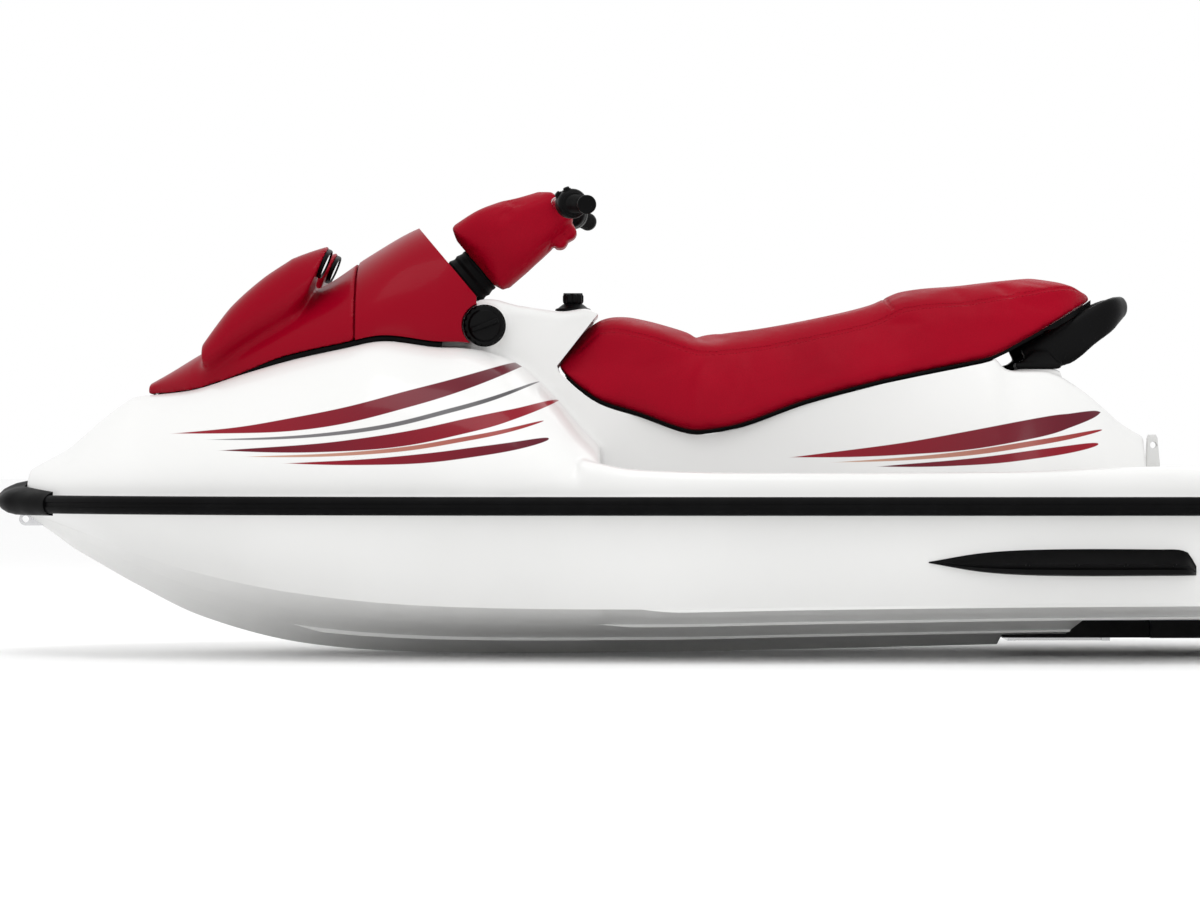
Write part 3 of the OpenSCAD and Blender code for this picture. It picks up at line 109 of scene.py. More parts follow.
# Station, centre height, half width, half height
POD = (
    (0.842, 0.765, 0.045, 0.080), (0.832, 0.845, 0.080, 0.130), (0.8195, 0.940, 0.105, 0.170),
    (0.797, 1.063, 0.125, 0.210), (0.776, 1.152, 0.135, 0.230), (0.757, 1.236, 0.138, 0.235))
# Station, top height, half width, depth
GRAB = (
    (0.228, 0.734, 0.250, 0.020), (0.203, 0.832, 0.245, 0.110), (0.180, 0.920, 0.225, 0.088),
    (0.163, 0.982, 0.190, 0.070), (0.1545, 0.995, 0.110, 0.030))
# Station, reach, height
SPONSON = (
    (0.118, 0.10, 0.35), (0.125, 0.75, 0.90), (0.145, 1.00, 1.00), (0.225, 1.00, 1.00),
    (0.270, 0.62, 0.75), (0.310, 0.06, 0.05))
# Share along the pad, upper and lower reach, half width
PAD = ((0.0, 0.49, -0.31, 0.34), (0.35, 0.44, -0.29, 0.38), (0.7, 0.27, -0.27, 0.40), (1.0, 0.15, -0.22, 0.38))
# Station, reach, top and bottom about the flange
BUMPER = (
    (0.9504, 0.0255, 0.0250, -0.0225), (0.957, 0.0285, 0.0275, -0.0225), (0.967, 0.0365, 0.0315, -0.0225),
    (0.976, 0.0500, 0.0350, -0.0225))
# Rub rail's section, as shares of its reach and height
RAIL_SECTION = (
    (0.0003, -0.5), (0.55, -0.5), (0.78, -0.42), (0.93, -0.28), (0.97, -0.14), (0.9, -0.11), (0.9, 0.11),
    (0.97, 0.14), (0.93, 0.28), (0.78, 0.42), (0.55, 0.5), (-0.26, 0.5), (-0.34, 0.46), (-0.34, 0.345),
    (0.0003, 0.345))
# Bumper's section from its foot up, as shares of its reach and height
BUMPER_SECTION = (
    (0, 0), (0.35, 0.015), (0.62, 0.08), (0.83, 0.2), (0.95, 0.33), (1, 0.478), (0.95, 0.625), (0.8, 0.757),
    (0.6, 0.846), (0.38, 0.926), (0, 1))
# Steps from the pod's rear end, share of its full size
POD_RIM = ((0.0, 0.93), (0.1, 0.968), (0.3, 0.99), (0.6, 0.998))
# Share of the mirror's size, height over the pod's end
BEZEL = (
    (0.985, -0.0003), (1.0, -0.002), (0.995, -0.0055), (0.97, -0.0078), (0.93, -0.0086), (0.895, -0.0078),
    (0.88, -0.0055), (0.88, -0.0045))
PANE = ((0.872, -0.0046), (0.872, -0.0058), (0.7, -0.0064), (0.4, -0.0068), (0.1, -0.0070))
# Radius, height over the console's face
BELLOWS = (
    (0.0535, 0), (0.0545, 0.002), (0.0545, 0.005), (0.0515, 0.009), (0.0505, 0.014), (0.0525, 0.020),
    (0.0500, 0.027), (0.0490, 0.031), (0.0512, 0.038), (0.0490, 0.045), (0.0480, 0.049), (0.0492, 0.054),
    (0.0480, 0.058), (0.022, 0.058), (0.022, 0.050), (0.0403, 0.050), (0.0403, 0))
# Radius, place from the bar's end
SLEEVE = (
    (0.0114, -0.1247), (0.0222, -0.1247), (0.0232, -0.1236), (0.0232, -0.1212), (0.0222, -0.1200),
    (0.0172, -0.1185), (0.0170, -0.012), (0.0185, -0.009), (0.0187, -0.0015), (0.0174, 0.0002), (0.0, 0.0002),
    (0.0, -0.004), (0.0114, -0.004))
# Throttle blade: distance from the bar, place along it, half width, half thickness
BLADE = (
    (-0.022, 0.010, 0.0055, 0.0045), (-0.032, 0.012, 0.006, 0.004), (-0.040, 0.018, 0.0062, 0.0038),
    (-0.0445, 0.030, 0.006, 0.0034), (-0.0455, 0.050, 0.0055, 0.003), (-0.0445, 0.075, 0.0052, 0.003),
    (-0.0440, 0.100, 0.0055, 0.0032), (-0.0450, 0.118, 0.0058, 0.0034), (-0.0462, 0.1205, 0.003, 0.0015))
# Radius, height over the gauge panel's foot
DIAL_RIM = (
    (0.0215, 0.004), (0.0258, 0.004), (0.0260, 0.0120), (0.0252, 0.0138), (0.0232, 0.0142), (0.0222, 0.0128),
    (0.0215, 0.0095))
DIAL_FACE = (
    (0, 0.006), (0.0216, 0.006), (0.0216, 0.0093), (0.0030, 0.0093), (0.0028, 0.0120), (0.0, 0.0122))
DIAL_LAMP = ((0, 0.006), (0.0022, 0.006), (0.0022, 0.0088), (0.0014, 0.0096), (0, 0.0098))
# Radius, height over the knob's pad
KNOB_BASE = (
    (0, 0), (0.0355, 0), (0.036, 0.0015), (0.036, 0.004), (0.0345, 0.0058), (0.030, 0.0072), (0.026, 0.0105),
    (0.020, 0.0150), (0.017, 0.0165), (0, 0.0165))
# Radius, height, 1 where fluted
KNOB = (
    (0.0, 0.015, 0), (0.017, 0.015, 0), (0.0205, 0.0175, 1), (0.0215, 0.021, 1), (0.0215, 0.031, 1),
    (0.0200, 0.0345, 1), (0.0165, 0.0358, 0), (0.0, 0.0362, 0))
CAP = (
    (0.0, 0, 0), (0.0405, 0, 0), (0.042, 0.002, 0), (0.042, 0.005, 0), (0.0412, 0.006, 1), (0.0412, 0.0165, 1),
    (0.0395, 0.0182, 1), (0.033, 0.0182, 0), (0.031, 0.0205, 0), (0.029, 0.0225, 0), (0.012, 0.0232, 0),
    (0.0, 0.0232, 0))
# Centre lines and widths that stripes share, as points of a value curve
SWEEP = ((0, 0), (0.4, 0.1), (0.75, 0.5), (1, 1))
CLIMB = ((0, 0), (0.4, 0.2), (0.75, 0.6), (1, 1))
SLIM = ((0, 0), (0.3, 0.7), (0.8, 1), (1, 0))
SPEAR = ((0, 0), (0.35, 0.7), (0.75, 1), (1, 0))
# X from and to, Z low and high, centre line, widest half, widths along it, colour pair, least |y|
STRIPES = (
    (0.97, 0.27, 0.262, 0.403, ((0, 0), (0.35, 0.12), (0.7, 0.5), (1, 1)), 0.019,
     ((0, 0), (0.15, 0.25), (0.6, 0.9), (0.85, 0.75), (1, 0)), 0, 0.2),
    (0.90, 0.24, 0.250, 0.366, SWEEP, 0.005, SLIM, 1, 0.2),
    (0.87, 0.20, 0.229, 0.330, SWEEP, 0.015, ((0, 0), (0.3, 0.6), (0.7, 1), (0.88, 0.7), (1, 0)), 2, 0.2),
    (0.82, 0.23, 0.217, 0.287, SWEEP, 0.005, SLIM, 3, 0.2),
    (0.74, 0.22, 0.204, 0.252, SWEEP, 0.010, ((0, 0), (0.3, 0.6), (0.7, 1), (1, 0)), 0, 0.2),
    (-0.25, -0.87, 0.215, 0.305, ((0, 0), (0.4, 0.22), (0.75, 0.6), (1, 1)), 0.020,
     ((0, 0), (0.35, 0.6), (0.75, 1), (0.9, 0.7), (1, 0)), 0, 0.1),
    (-0.33, -0.87, 0.205, 0.270, CLIMB, 0.006, SPEAR, 3, 0.1),
    (-0.42, -0.86, 0.197, 0.242, CLIMB, 0.009, SPEAR, 2, 0.1))
# Name, place, aim, size, power
LAMPS = (
    ("key", (0.8, 2.6, 5.6), (0.1, 0, 0.2), 3.0, 75), ("low", (0.2, 8.0, 0.5), (0.1, 0, 0.0), 3.0, 40),
    ("rim", (-1.0, -4.5, 4.2), (0.0, 0, 0.2), 3.5, 35))
# Stage floor's radius and its gap under the keel
FLOOR_RADIUS, FLOOR_GAP = 60.0, 0.003
# Camera: sensor in millimetres, distance, width and centre of its view
SENSOR, CAMERA_FAR, VIEW_WIDTH, VIEW_X, VIEW_Z = 36.0, 10.0, 2.436, 0.122, 0.41
# Stations along the craft, as shares of its length from the stern
STERN, BOW, GUNWALE_FORE = 0.0085, 0.976, 0.56
HOOD_AFT, HOOD_TIP, CONSOLE_AFT = 0.728, 0.886, 0.637
SEAT_TAIL, SEAT_NOSE, LIP, BASE_TAIL = 0.176, 0.576, 0.545, 0.215
SEAT_SEAM = 0.332
HANDLE_AFT, HANDLE_FORE = 0.202, 0.236
# Strakes: share of the chine's half width, fore end
STRAKES, CHINE_FORE = ((0.36, 0.775), (0.66, 0.545)), 0.515
# Places of fittings: station and height share
COLUMN, FUEL_CAP, SELECTOR, HANDLE_LEVEL = (0.648, 1.1112), (0.631, 0.8816), (0.566, 0.9567), 0.6622
# Pump tunnel and the notch aft of it: fore ends and heights, and a station past the transom
TUNNEL_FORE, TUNNEL_HALF, TUNNEL_TOP = 0.245, 0.13, 0.234
NOTCH_FORE, NOTCH_TOP, ASTERN = 0.205, 0.075, -0.02
# How far a cutting tool passes what it cuts, and half of a cut right across the craft
OVER, ACROSS = 0.005, 0.6
# Wall of hood and console, radius of the hole for the fuel cap's neck, length of the neck
COWL_WALL, CAP_HOLE, NECK_LONG = 0.006, 0.0453, 0.205
# Pods: offset from the centreline, tilt of their ends, stretch in height, half sizes of a mirror
POD_OUT, POD_TILT, POD_TALL, MIRROR = 0.165, math.radians(24), 0.75, (0.031, 0.0576)
# Side fins: height above the keel, reach, half height
FIN_Z, FIN_REACH, FIN_HALF = 0.194, 0.042, 0.025
# Grab loop: least half height, half width
LOOP_TALL, LOOP_WIDE = 0.017, 0.0165
# Up the column: length and start of the pad, height of the bar; and the length of a grip
PAD_LONG, PAD_START, BAR_Z, GRIP_LONG = 0.215, 0.045, 0.245, 0.1247
# Frames that the stuffing of a padded piece takes to swell
SWELL_FRAMES = 20
# Gauges in the column's frame: place of a dial and foot of the panel
GAUGE_X, GAUGE_Y, GAUGE_Z = 0.092, 0.048, -0.0157


def curve(table, col, s):
    """Reads one column of a table at station s, with a smooth curve through the rows."""
    last = len(table) - 1
    i = 0
    while i < last - 1 and s > table[i + 1][0]:
        i += 1

    def rise(k):
        a, b = table[max(k - 1, 0)], table[min(k + 1, last)]
        return (b[col] - a[col]) / (b[0] - a[0])

    h = table[i + 1][0] - table[i][0]
    u = clamp((s - table[i][0]) / h)
    m, n = rise(i) * h, rise(i + 1) * h
    return (table[i][col] * (2 * u**3 - 3 * u * u + 1) + m * (u**3 - 2 * u * u + u)
            + table[i + 1][col] * (3 * u * u - 2 * u**3) + n * (u**3 - u * u))


def clamp(v):
    """Holds a value between 0 and 1."""
    return min(1.0, max(0.0, v))


def mix(a, b, u):
    """The value at share u of the way from a to b."""
    return a + (b - a) * u


def even(lo, hi, n):
    """Both ends and the even steps between them."""
    return [mix(lo, hi, k / n) for k in range(n + 1)]


def circle(n):
    """Angles of n even steps round a circle."""
    return [2 * math.pi * j / n for j in range(n)]


def arc(x, y, r, start, sweep, n):
    """Points of an arc from a start angle over a sweep, both in degrees."""
    angles = [math.radians(start + sweep * j / n) for j in range(n + 1)]
    return [(x + r * math.cos(t), y + r * math.sin(t)) for t in angles]


def tangent(path, i):
    """Level direction of a path at point i, from its neighbours."""
    a, b = path[max(i - 1, 0)], path[min(i + 1, len(path) - 1)]
    return Vector((b[0] - a[0], b[1] - a[1])).normalized()


def at(s):
    """X of a station."""
    return (s - 0.5) * CRAFT_LENGTH


class Lines:
    """The craft's lines, as section points in metres above the keel."""

    def __init__(self, sizes):
        self.z = sizes
        self.half = sizes.beam / 2 - sizes.rail_thickness

    def deck_z(self, share):
        """Height of a share of the deck."""
        return self.z.hull_depth + self.z.deck_height * share

    def keel(self, s):
        return self.z.hull_depth * curve(HULL, 1, s)

    def chine_y(self, s):
        return self.half * curve(HULL, 2, s)

    def chine_z(self, s):
        return self.z.hull_depth * curve(HULL, 3, s)

    def flange_y(self, s):
        return self.half * curve(HULL, 4, s)

    def vee(self, s, y):
        """Height of the plain vee bottom."""
        return mix(self.keel(s), self.chine_z(s), y / self.chine_y(s))

    def side(self, s, z):
        """Half width of the hull's side at a height."""
        lo, hi = self.chine_z(s), self.z.hull_depth - self.z.flange
        u = (z - lo) / (hi - lo)
        bulge = self.z.bulge * math.sin(math.pi * u) * clamp((BOW - s) / 0.1)
        return mix(self.chine_y(s), self.flange_y(s) - self.z.flange_width, u) + bulge

    def strake(self, s, y, width, fore):
        """A step in the vee, which fades out at its fore end."""
        w = min(max(0.0004, width * clamp((fore - s) / 0.02)), 0.12 * self.chine_y(s))
        low = self.vee(s, y - w)
        return [(y - w, low), (y, low), (y, self.vee(s, y))]

    def hull_half(self, s):
        """Outside of the hull, keel to flange."""
        depth, lip = self.z.hull_depth, self.z.hull_depth - self.z.flange
        half = [(0, self.keel(s))]
        for share, fore in STRAKES:
            half += self.strake(s, share * self.chine_y(s), self.z.strake, fore)
        half += self.strake(s, self.chine_y(s), self.z.chine, CHINE_FORE)
        for u in even(0.07, 1, 11):
            z = mix(self.chine_z(s), lip, u)
            half.append((self.side(s, z), z))
        return half + [(self.flange_y(s), lip), (self.flange_y(s), depth), (0, depth)]

    def bay_half(self, s):
        """Hollow of the hull's engine bay."""
        z, lift, wall = self.z, 0.022, 0.014
        mid = mix(self.chine_z(s), z.hull_depth, 0.5)
        side = self.flange_y(s) - z.flange_width - wall
        return [(0, self.keel(s) + lift), (self.chine_y(s) - 2 * wall, self.chine_z(s) + lift / 2),
                (self.side(s, mid) - wall, mid), (side, z.hull_depth - z.flange),
                (side, z.hull_depth + OVER), (0, z.hull_depth + OVER)]

    def front_z(self, s):
        return self.deck_z(curve(FRONT, 1, s))

    def front_y(self, s):
        return self.half * curve(FRONT, 2, s)

    def front_half(self, s, steps=26):
        """Front deck, from the flange over its flank to its flat top."""
        foot, low = self.flange_y(s) - self.z.flange_width, self.z.hull_depth + self.z.flange
        half = [(0, self.z.hull_depth), (self.flange_y(s), self.z.hull_depth), (self.flange_y(s), low)]
        for k in range(steps + 1):
            a = math.pi / 2 * k / steps
            half.append((mix(self.front_y(s), foot, math.cos(a)), mix(low, self.front_z(s), math.sin(a))))
        return half + [(0, self.front_z(s))]

    def ped_z(self, s):
        return self.deck_z(curve(PEDESTAL, 1, s))

    def ped_side(self, s, u):
        """Half width of the pedestal at a share of its height."""
        top, foot = self.half * curve(PEDESTAL, 2, s), self.half * curve(PEDESTAL, 3, s)
        return mix(foot, top, 1 - (1 - u) ** curve(PEDESTAL, 4, s))

    def ped_half(self, s, steps=14, grow=0.0):
        """Seat pedestal and the ridge ahead of it."""
        floor, edge = self.z.floor, 0.016
        top = self.ped_z(s)
        half = [(0, floor - self.z.flange), (self.ped_side(s, 0) + grow, floor - self.z.flange)]
        for k in range(steps + 1):
            half.append((self.ped_side(s, k / steps) + grow, mix(floor, top - edge, k / steps) + grow))
        y = self.half * curve(PEDESTAL, 2, s)
        return half + [(y - edge * 0.3, top - edge * 0.3 + grow), (y - edge, top + grow), (0, top + grow)]

    def ped_bay_half(self, s):
        """Hollow under the pedestal."""
        low = self.z.floor - self.z.flange - OVER
        half = [(0, low)]
        for u in (0, 0.2, 0.4, 0.6, 0.8, 1):
            half.append((self.ped_side(s, u) - 0.026, mix(low, self.ped_z(s) - 0.014, u)))
        return half + [(0, self.ped_z(s) - 0.014)]

    def gunwale_z(self, s):
        return self.deck_z(curve(GUNWALE, 1, s))

    def gunwale_in(self, s):
        return self.flange_y(s) - self.z.gunwale - 0.014

    def gunwale_ring(self, s):
        """Closed section of the port gunwale."""
        f, g, depth, lip = self.flange_y(s), self.gunwale_z(s), self.z.hull_depth, self.z.flange
        b = f - self.z.flange_width
        low = depth + lip if s < 0.0205 else self.z.floor
        return [(b - 0.024, depth), (f, depth), (f, depth + lip), (b, depth + lip), (b - 0.009, g - 0.024),
                (b - 0.014, g - 0.010), (b - 0.024, g - 0.003), (f - self.z.gunwale + 0.024, g),
                (f - self.z.gunwale + 0.008, g - 0.004), (f - self.z.gunwale, g - 0.012),
                (self.gunwale_in(s), low), (self.gunwale_in(s), low - lip)]

    def seat_bottom(self, s):
        return self.deck_z(curve(SEAT, 1, s))

    def seat_top(self, s):
        return self.deck_z(curve(SEAT, 2, s))

    def seat_half(self, s, inset=0.0):
        """Seat cushion, drawn in by an inset that its stuffing fills."""
        b, t = self.seat_bottom(s) + 0.008, self.seat_top(s) - inset
        y, r = self.half * curve(SEAT, 3, s) - inset, self.half * curve(SEAT, 4, s) - inset
        return [(0, b), (y * 0.5, b), (y, b), (y, mix(b, t, 0.12)), (mix(y, r, 0.3), mix(b, t, 0.3)),
                (mix(y, r, 0.6), mix(b, t, 0.5)), (mix(y, r, 0.82), mix(b, t, 0.66)), (r, mix(b, t, 0.8)),
                (r * 0.89, mix(b, t, 0.9)), (r * 0.72, mix(b, t, 0.955)), (r * 0.4, mix(b, t, 0.99)), (0, t)]

    def cowl_z(self, s):
        return self.deck_z(curve(COWL, 1, s))

    def cowl_half(self, s, inset=0.0, drop=0.0, steps=26):
        """Hood or console, with an inset and a drop below its edge."""
        y, low, crown = self.front_y(s) - inset, self.front_z(s) + 0.012, self.cowl_z(s) - inset
        half = [(0, low - drop), (y, low - drop)]
        for k in range(1, steps):
            a = math.pi / 2 * k / steps
            half.append((y * math.cos(a) ** 0.75, mix(low, crown, math.sin(a) ** 0.95)))
        return half + [(0, crown)]

    def column(self):
        """Frame of the steering column: origin on the console face, Z up the column."""
        spot = Vector((at(COLUMN[0]), 0, self.deck_z(COLUMN[1]) + KEEL))
        return Matrix.Translation(spot) @ Matrix.Rotation(self.z.column_rake - math.pi / 2, 4, "Y")

    def cap_frame(self, y=0.0):
        """Frame of the fuel cap's neck: Z to port."""
        spot = (at(FUEL_CAP[0]), y, self.deck_z(FUEL_CAP[1]) + KEEL)
        return Matrix.Translation(spot) @ Matrix.Rotation(-math.pi / 2, 4, "X")

    def knob_frame(self, lift):
        """Frame of the selector knob, at a lift above the deck."""
        return Matrix.Translation((at(SELECTOR[0]), 0, self.deck_z(SELECTOR[1]) + lift + KEEL))


def both(half):
    """A closed ring from one half, mirrored about the centreline."""
    return list(half) + [(-y, z) for y, z in reversed(half) if y > 1e-4]


def flip(side, pts):
    """Section points on the port side (1) or starboard side (-1)."""
    return [(side * y, z) for y, z in pts]


def ring(s, pts):
    """Section points set at a station."""
    return [(at(s), y, z + KEEL) for y, z in pts]


def oblong(s, y, lo, hi):
    """A plain box section at a station."""
    return ring(s, [(-y, lo), (y, lo), (y, hi), (-y, hi)])


def add_object(name, data):
    """A new object in the scene."""
    obj = bpy.data.objects.new(name, data)
    bpy.context.scene.collection.objects.link(obj)
    return obj


def build(name, verts, faces):
    """An object from points and faces."""
    mesh = bpy.data.meshes.new(name)
    mesh.from_pydata([tuple(v) for v in verts], [], faces)
    mesh.validate()
    return add_object(name, mesh)


def loft(name, rings, caps=True):
    """A skin through rings of equal length, closed at both ends, with its faces outward."""
    n = len(rings[0])
    faces = []
    for i in range(len(rings) - 1):
        for j in range(n):
            a, b = i * n + j, i * n + (j + 1) % n
            faces.append((a, a + n, b + n, b))
    if caps:
        faces.append(tuple(range(n)))
        faces.append(tuple((len(rings) - 1) * n + j for j in reversed(range(n))))
    obj = build(name, [p for r in rings for p in r], faces)
    outward(obj)
    return obj


def skin(name, half, stations):
    """A skin along the craft through half sections, mirrored about the centreline."""
    return loft(name, [ring(s, both(half(s))) for s in stations])


def outward(obj):
    """Merges doubled points and turns all faces outward."""
    bm = bmesh.new()
    bm.from_mesh(obj.data)
    bmesh.ops.remove_doubles(bm, verts=bm.verts, dist=1e-6)
    bmesh.ops.recalc_face_normals(bm, faces=bm.faces)
    bm.to_mesh(obj.data)
    bm.free()


def slab(name, lo, hi, matrix=None):
    """A box used as a cutting tool."""
    v = [Vector((x, y, z)) for x in (lo[0], hi[0]) for y in (lo[1], hi[1]) for z in (lo[2], hi[2])]
    if matrix:
        v = [matrix @ p for p in v]
    obj = build(name, v, [(0, 1, 3, 2), (4, 6, 7, 5), (0, 4, 5, 1), (2, 3, 7, 6), (0, 2, 6, 4), (1, 5, 7, 3)])
    outward(obj)
    return obj


def prism(name, profile, half):
    """A profile in X and Z, carried across the craft."""
    n = len(profile)
    v = [(x, -half, z + KEEL) for x, z in profile] + [(x, half, z + KEEL) for x, z in profile]
    f = [tuple(range(n)), tuple(reversed(range(n, 2 * n)))]
    f += [(i, (i + 1) % n, (i + 1) % n + n, i + n) for i in range(n)]
    obj = build(name, v, f)
    outward(obj)
    return obj


def turned(name, profile, matrix, steps=64):
    """A closed profile of radius and height pairs, turned about the matrix's Z."""
    rings = [[matrix @ Vector((r * math.cos(a), r * math.sin(a), h)) for r, h in profile]
             for a in circle(steps)]
    n = len(profile)
    faces = []
    for k in range(steps):
        for j in range(n):
            a, b = k * n + j, k * n + (j + 1) % n
            c, d = ((k + 1) % steps) * n + (j + 1) % n, ((k + 1) % steps) * n + j
            faces.append((a, b, c, d))
    obj = build(name, [p for r in rings for p in r], faces)
    outward(obj)
    return obj


def rod(name, radius, lo, hi, matrix, steps):
    """A plain cylinder on the matrix's Z."""
    return turned(name, [(0, lo), (radius, lo), (radius, hi), (0, hi)], matrix, steps)


def fluted(name, rows, matrix, flutes, steps, deep, power):
    """A skin about the matrix's Z through rows of radius, height and a mark where flutes are cut."""
    rings = []
    for r, h, wave in rows:
        pts = []
        for a in circle(steps):
            q = r - wave * deep * (0.5 + 0.5 * math.cos(flutes * a)) ** power
            pts.append(matrix @ Vector((q * math.cos(a), q * math.sin(a), h)))
        rings.append(pts)
    return loft(name, rings, caps=False)


def bake(obj):
    """Turns an object's modifiers into plain mesh."""
    dg = bpy.context.evaluated_depsgraph_get()
    mesh = bpy.data.meshes.new_from_object(obj.evaluated_get(dg))
    obj.modifiers.clear()
    old = obj.data
    obj.data = mesh
    bpy.data.meshes.remove(old)
    return obj


def drop(*objs):
    """Deletes objects and the meshes that only they use."""
    for o in objs:
        mesh = o.data
        bpy.data.objects.remove(o)
        if mesh.users == 0:
            bpy.data.meshes.remove(mesh)


def join(name, objs):
    """One object from several meshes."""
    bm = bmesh.new()
    for o in objs:
        bm.from_mesh(o.data)
    mesh = bpy.data.meshes.new(name)
    bm.to_mesh(mesh)
    bm.free()
    drop(*objs)
    return add_object(name, mesh)


def carve(obj, tool, how="DIFFERENCE"):
    """Cuts an object with a tool, which is then deleted."""
    mod = obj.modifiers.new("carve", "BOOLEAN")
    mod.operation = how
    mod.solver = "EXACT"
    mod.object = tool
    bake(obj)
    drop(tool)
    return obj


def fair(obj, voxel, passes):
    """Melts overlapping shells into one fair skin with small fillets where they meet."""
    guide = obj.copy()
    guide.data = obj.data.copy()
    bpy.context.scene.collection.objects.link(guide)
    mod = obj.modifiers.new("melt", "REMESH")
    mod.mode = "VOXEL"
    mod.voxel_size = voxel
    wrap = obj.modifiers.new("wrap", "SHRINKWRAP")
    wrap.target = guide
    wrap.wrap_method = "NEAREST_SURFACEPOINT"
    ease = obj.modifiers.new("ease", "SMOOTH")
    ease.factor = 0.5
    ease.iterations = passes
    bake(obj)
    drop(guide)
    return obj


def skin_tree(obj):
    """A search tree of an object's skin."""
    verts = [v.co.copy() for v in obj.data.vertices]
    return BVHTree.FromPolygons(verts, [tuple(q.vertices) for q in obj.data.polygons])


def soften(obj, trees, reach, passes):
    """Rounds the inner corner where two forms meet, by smoothing only what lies near both."""
    group = obj.vertex_groups.new(name="corner")
    for v in obj.data.vertices:
        far = max(tr.find_nearest(v.co)[3] for tr in trees)
        if far < reach:
            group.add([v.index], 1 - (far / reach) ** 2, "REPLACE")
    ease = obj.modifiers.new("ease", "SMOOTH")
    ease.factor, ease.iterations, ease.vertex_group = 0.5, passes, "corner"
    bake(obj)
    obj.vertex_groups.clear()
    return obj


def merge_underside(obj):
    """Merges the flat underside, which nothing shows, into a few large faces."""
    bm = bmesh.new()
    bm.from_mesh(obj.data)
    under = {f for f in bm.faces if f.normal.z < -0.9999}
    bmesh.ops.dissolve_limit(bm, angle_limit=math.radians(0.5),
                             verts=[v for v in bm.verts if all(f in under for f in v.link_faces)],
                             edges=[e for e in bm.edges if all(f in under for f in e.link_faces)])
    bm.to_mesh(obj.data)
    bm.free()
    return obj


def shade(obj, angle=35):
    """Shades an object smooth, apart from edges sharper than an angle in degrees."""
    obj.data.polygons.foreach_set("use_smooth", [True] * len(obj.data.polygons))
    obj.data.set_sharp_from_angle(angle=math.radians(angle))
    return obj


def repeat_tree(name, shape, axis):
    """A node tree that sets one small shape on every point of a mesh, turned to the point's stored aim."""
    tree = bpy.data.node_groups.new(name, "GeometryNodeTree")
    tree.interface.new_socket("Points", in_out="INPUT", socket_type="NodeSocketGeometry")
    for label in ("Length", "Radius"):
        sock = tree.interface.new_socket(label, in_out="INPUT", socket_type="NodeSocketFloat")
        sock.subtype = "DISTANCE"
        sock.default_value = 0.004
    tree.interface.new_socket("Finish", in_out="INPUT", socket_type="NodeSocketMaterial")
    tree.interface.new_socket("Pieces", in_out="OUTPUT", socket_type="NodeSocketGeometry")
    new, link = tree.nodes.new, tree.links.new
    given, out = new("NodeGroupInput"), new("NodeGroupOutput")
    if shape == "stitch":
        ball = new("GeometryNodeMeshIcoSphere")
        ball.inputs["Subdivisions"].default_value = 1
        ball.inputs["Radius"].default_value = 1.0
        size = new("ShaderNodeCombineXYZ")
        link(given.outputs["Length"], size.inputs["X"])
        link(given.outputs["Radius"], size.inputs["Y"])
        link(given.outputs["Radius"], size.inputs["Z"])
        form = new("GeometryNodeTransform")
        link(ball.outputs["Mesh"], form.inputs["Geometry"])
        link(size.outputs[0], form.inputs["Scale"])
    elif shape == "stud":
        parts = []
        for wide, tall, sides in ((1.0, 1.0, 14), (0.5, 1.25, 6)):
            head = new("GeometryNodeMeshCone")
            head.inputs["Vertices"].default_value = sides
            for socket, base, k in (("Radius Top", "Radius", wide * 0.8), ("Radius Bottom", "Radius", wide),
                                    ("Depth", "Length", tall)):
                m = new("ShaderNodeMath")
                m.operation = "MULTIPLY"
                link(given.outputs[base], m.inputs[0])
                m.inputs[1].default_value = k
                link(m.outputs[0], head.inputs[socket])
            parts.append(head.outputs["Mesh"])
        form = new("GeometryNodeJoinGeometry")
        for part in parts:
            link(part, form.inputs["Geometry"])
    else:
        loop, wire = new("GeometryNodeCurvePrimitiveCircle"), new("GeometryNodeCurvePrimitiveCircle")
        loop.inputs["Resolution"].default_value = 32
        wire.inputs["Resolution"].default_value = 8
        link(given.outputs["Length"], loop.inputs["Radius"])
        link(given.outputs["Radius"], wire.inputs["Radius"])
        form = new("GeometryNodeCurveToMesh")
        link(loop.outputs["Curve"], form.inputs["Curve"])
        link(wire.outputs["Curve"], form.inputs["Profile Curve"])
    aim = new("GeometryNodeInputNamedAttribute")
    aim.data_type = "FLOAT_VECTOR"
    aim.inputs["Name"].default_value = "aim"
    turn = new("FunctionNodeAlignRotationToVector")
    turn.axis = axis
    link(aim.outputs["Attribute"], turn.inputs["Vector"])
    copies = new("GeometryNodeInstanceOnPoints")
    link(given.outputs["Points"], copies.inputs["Points"])
    link(form.outputs[0], copies.inputs["Instance"])
    link(turn.outputs["Rotation"], copies.inputs["Rotation"])
    real, paint = new("GeometryNodeRealizeInstances"), new("GeometryNodeSetMaterial")
    link(copies.outputs["Instances"], real.inputs["Geometry"])
    link(real.outputs["Geometry"], paint.inputs["Geometry"])
    link(given.outputs["Finish"], paint.inputs["Material"])
    link(paint.outputs["Geometry"], out.inputs["Pieces"])
    return tree


def repeat(name, shape, spots, length, radius, finish):
    """Repeats a stitch, a stud or a rib at spots, which are pairs of place and aim."""
    key = "repeat_" + shape
    tree = bpy.data.node_groups.get(key) or repeat_tree(key, shape, "X" if shape == "stitch" else "Z")
    obj = build(name, [q for q, aim in spots], [])
    store = obj.data.attributes.new("aim", "FLOAT_VECTOR", "POINT")
    store.data.foreach_set("vector", [c for q, aim in spots for c in aim])
    mod = obj.modifiers.new("repeat", "NODES")
    mod.node_group = tree
    ids = {i.name: i.identifier for i in tree.interface.items_tree if i.in_out == "INPUT"}
    mod[ids["Length"]] = length
    mod[ids["Radius"]] = radius
    mod[ids["Finish"]] = Finish.made[finish]
    bake(obj)
    outward(obj)
    return shade(obj, 50)


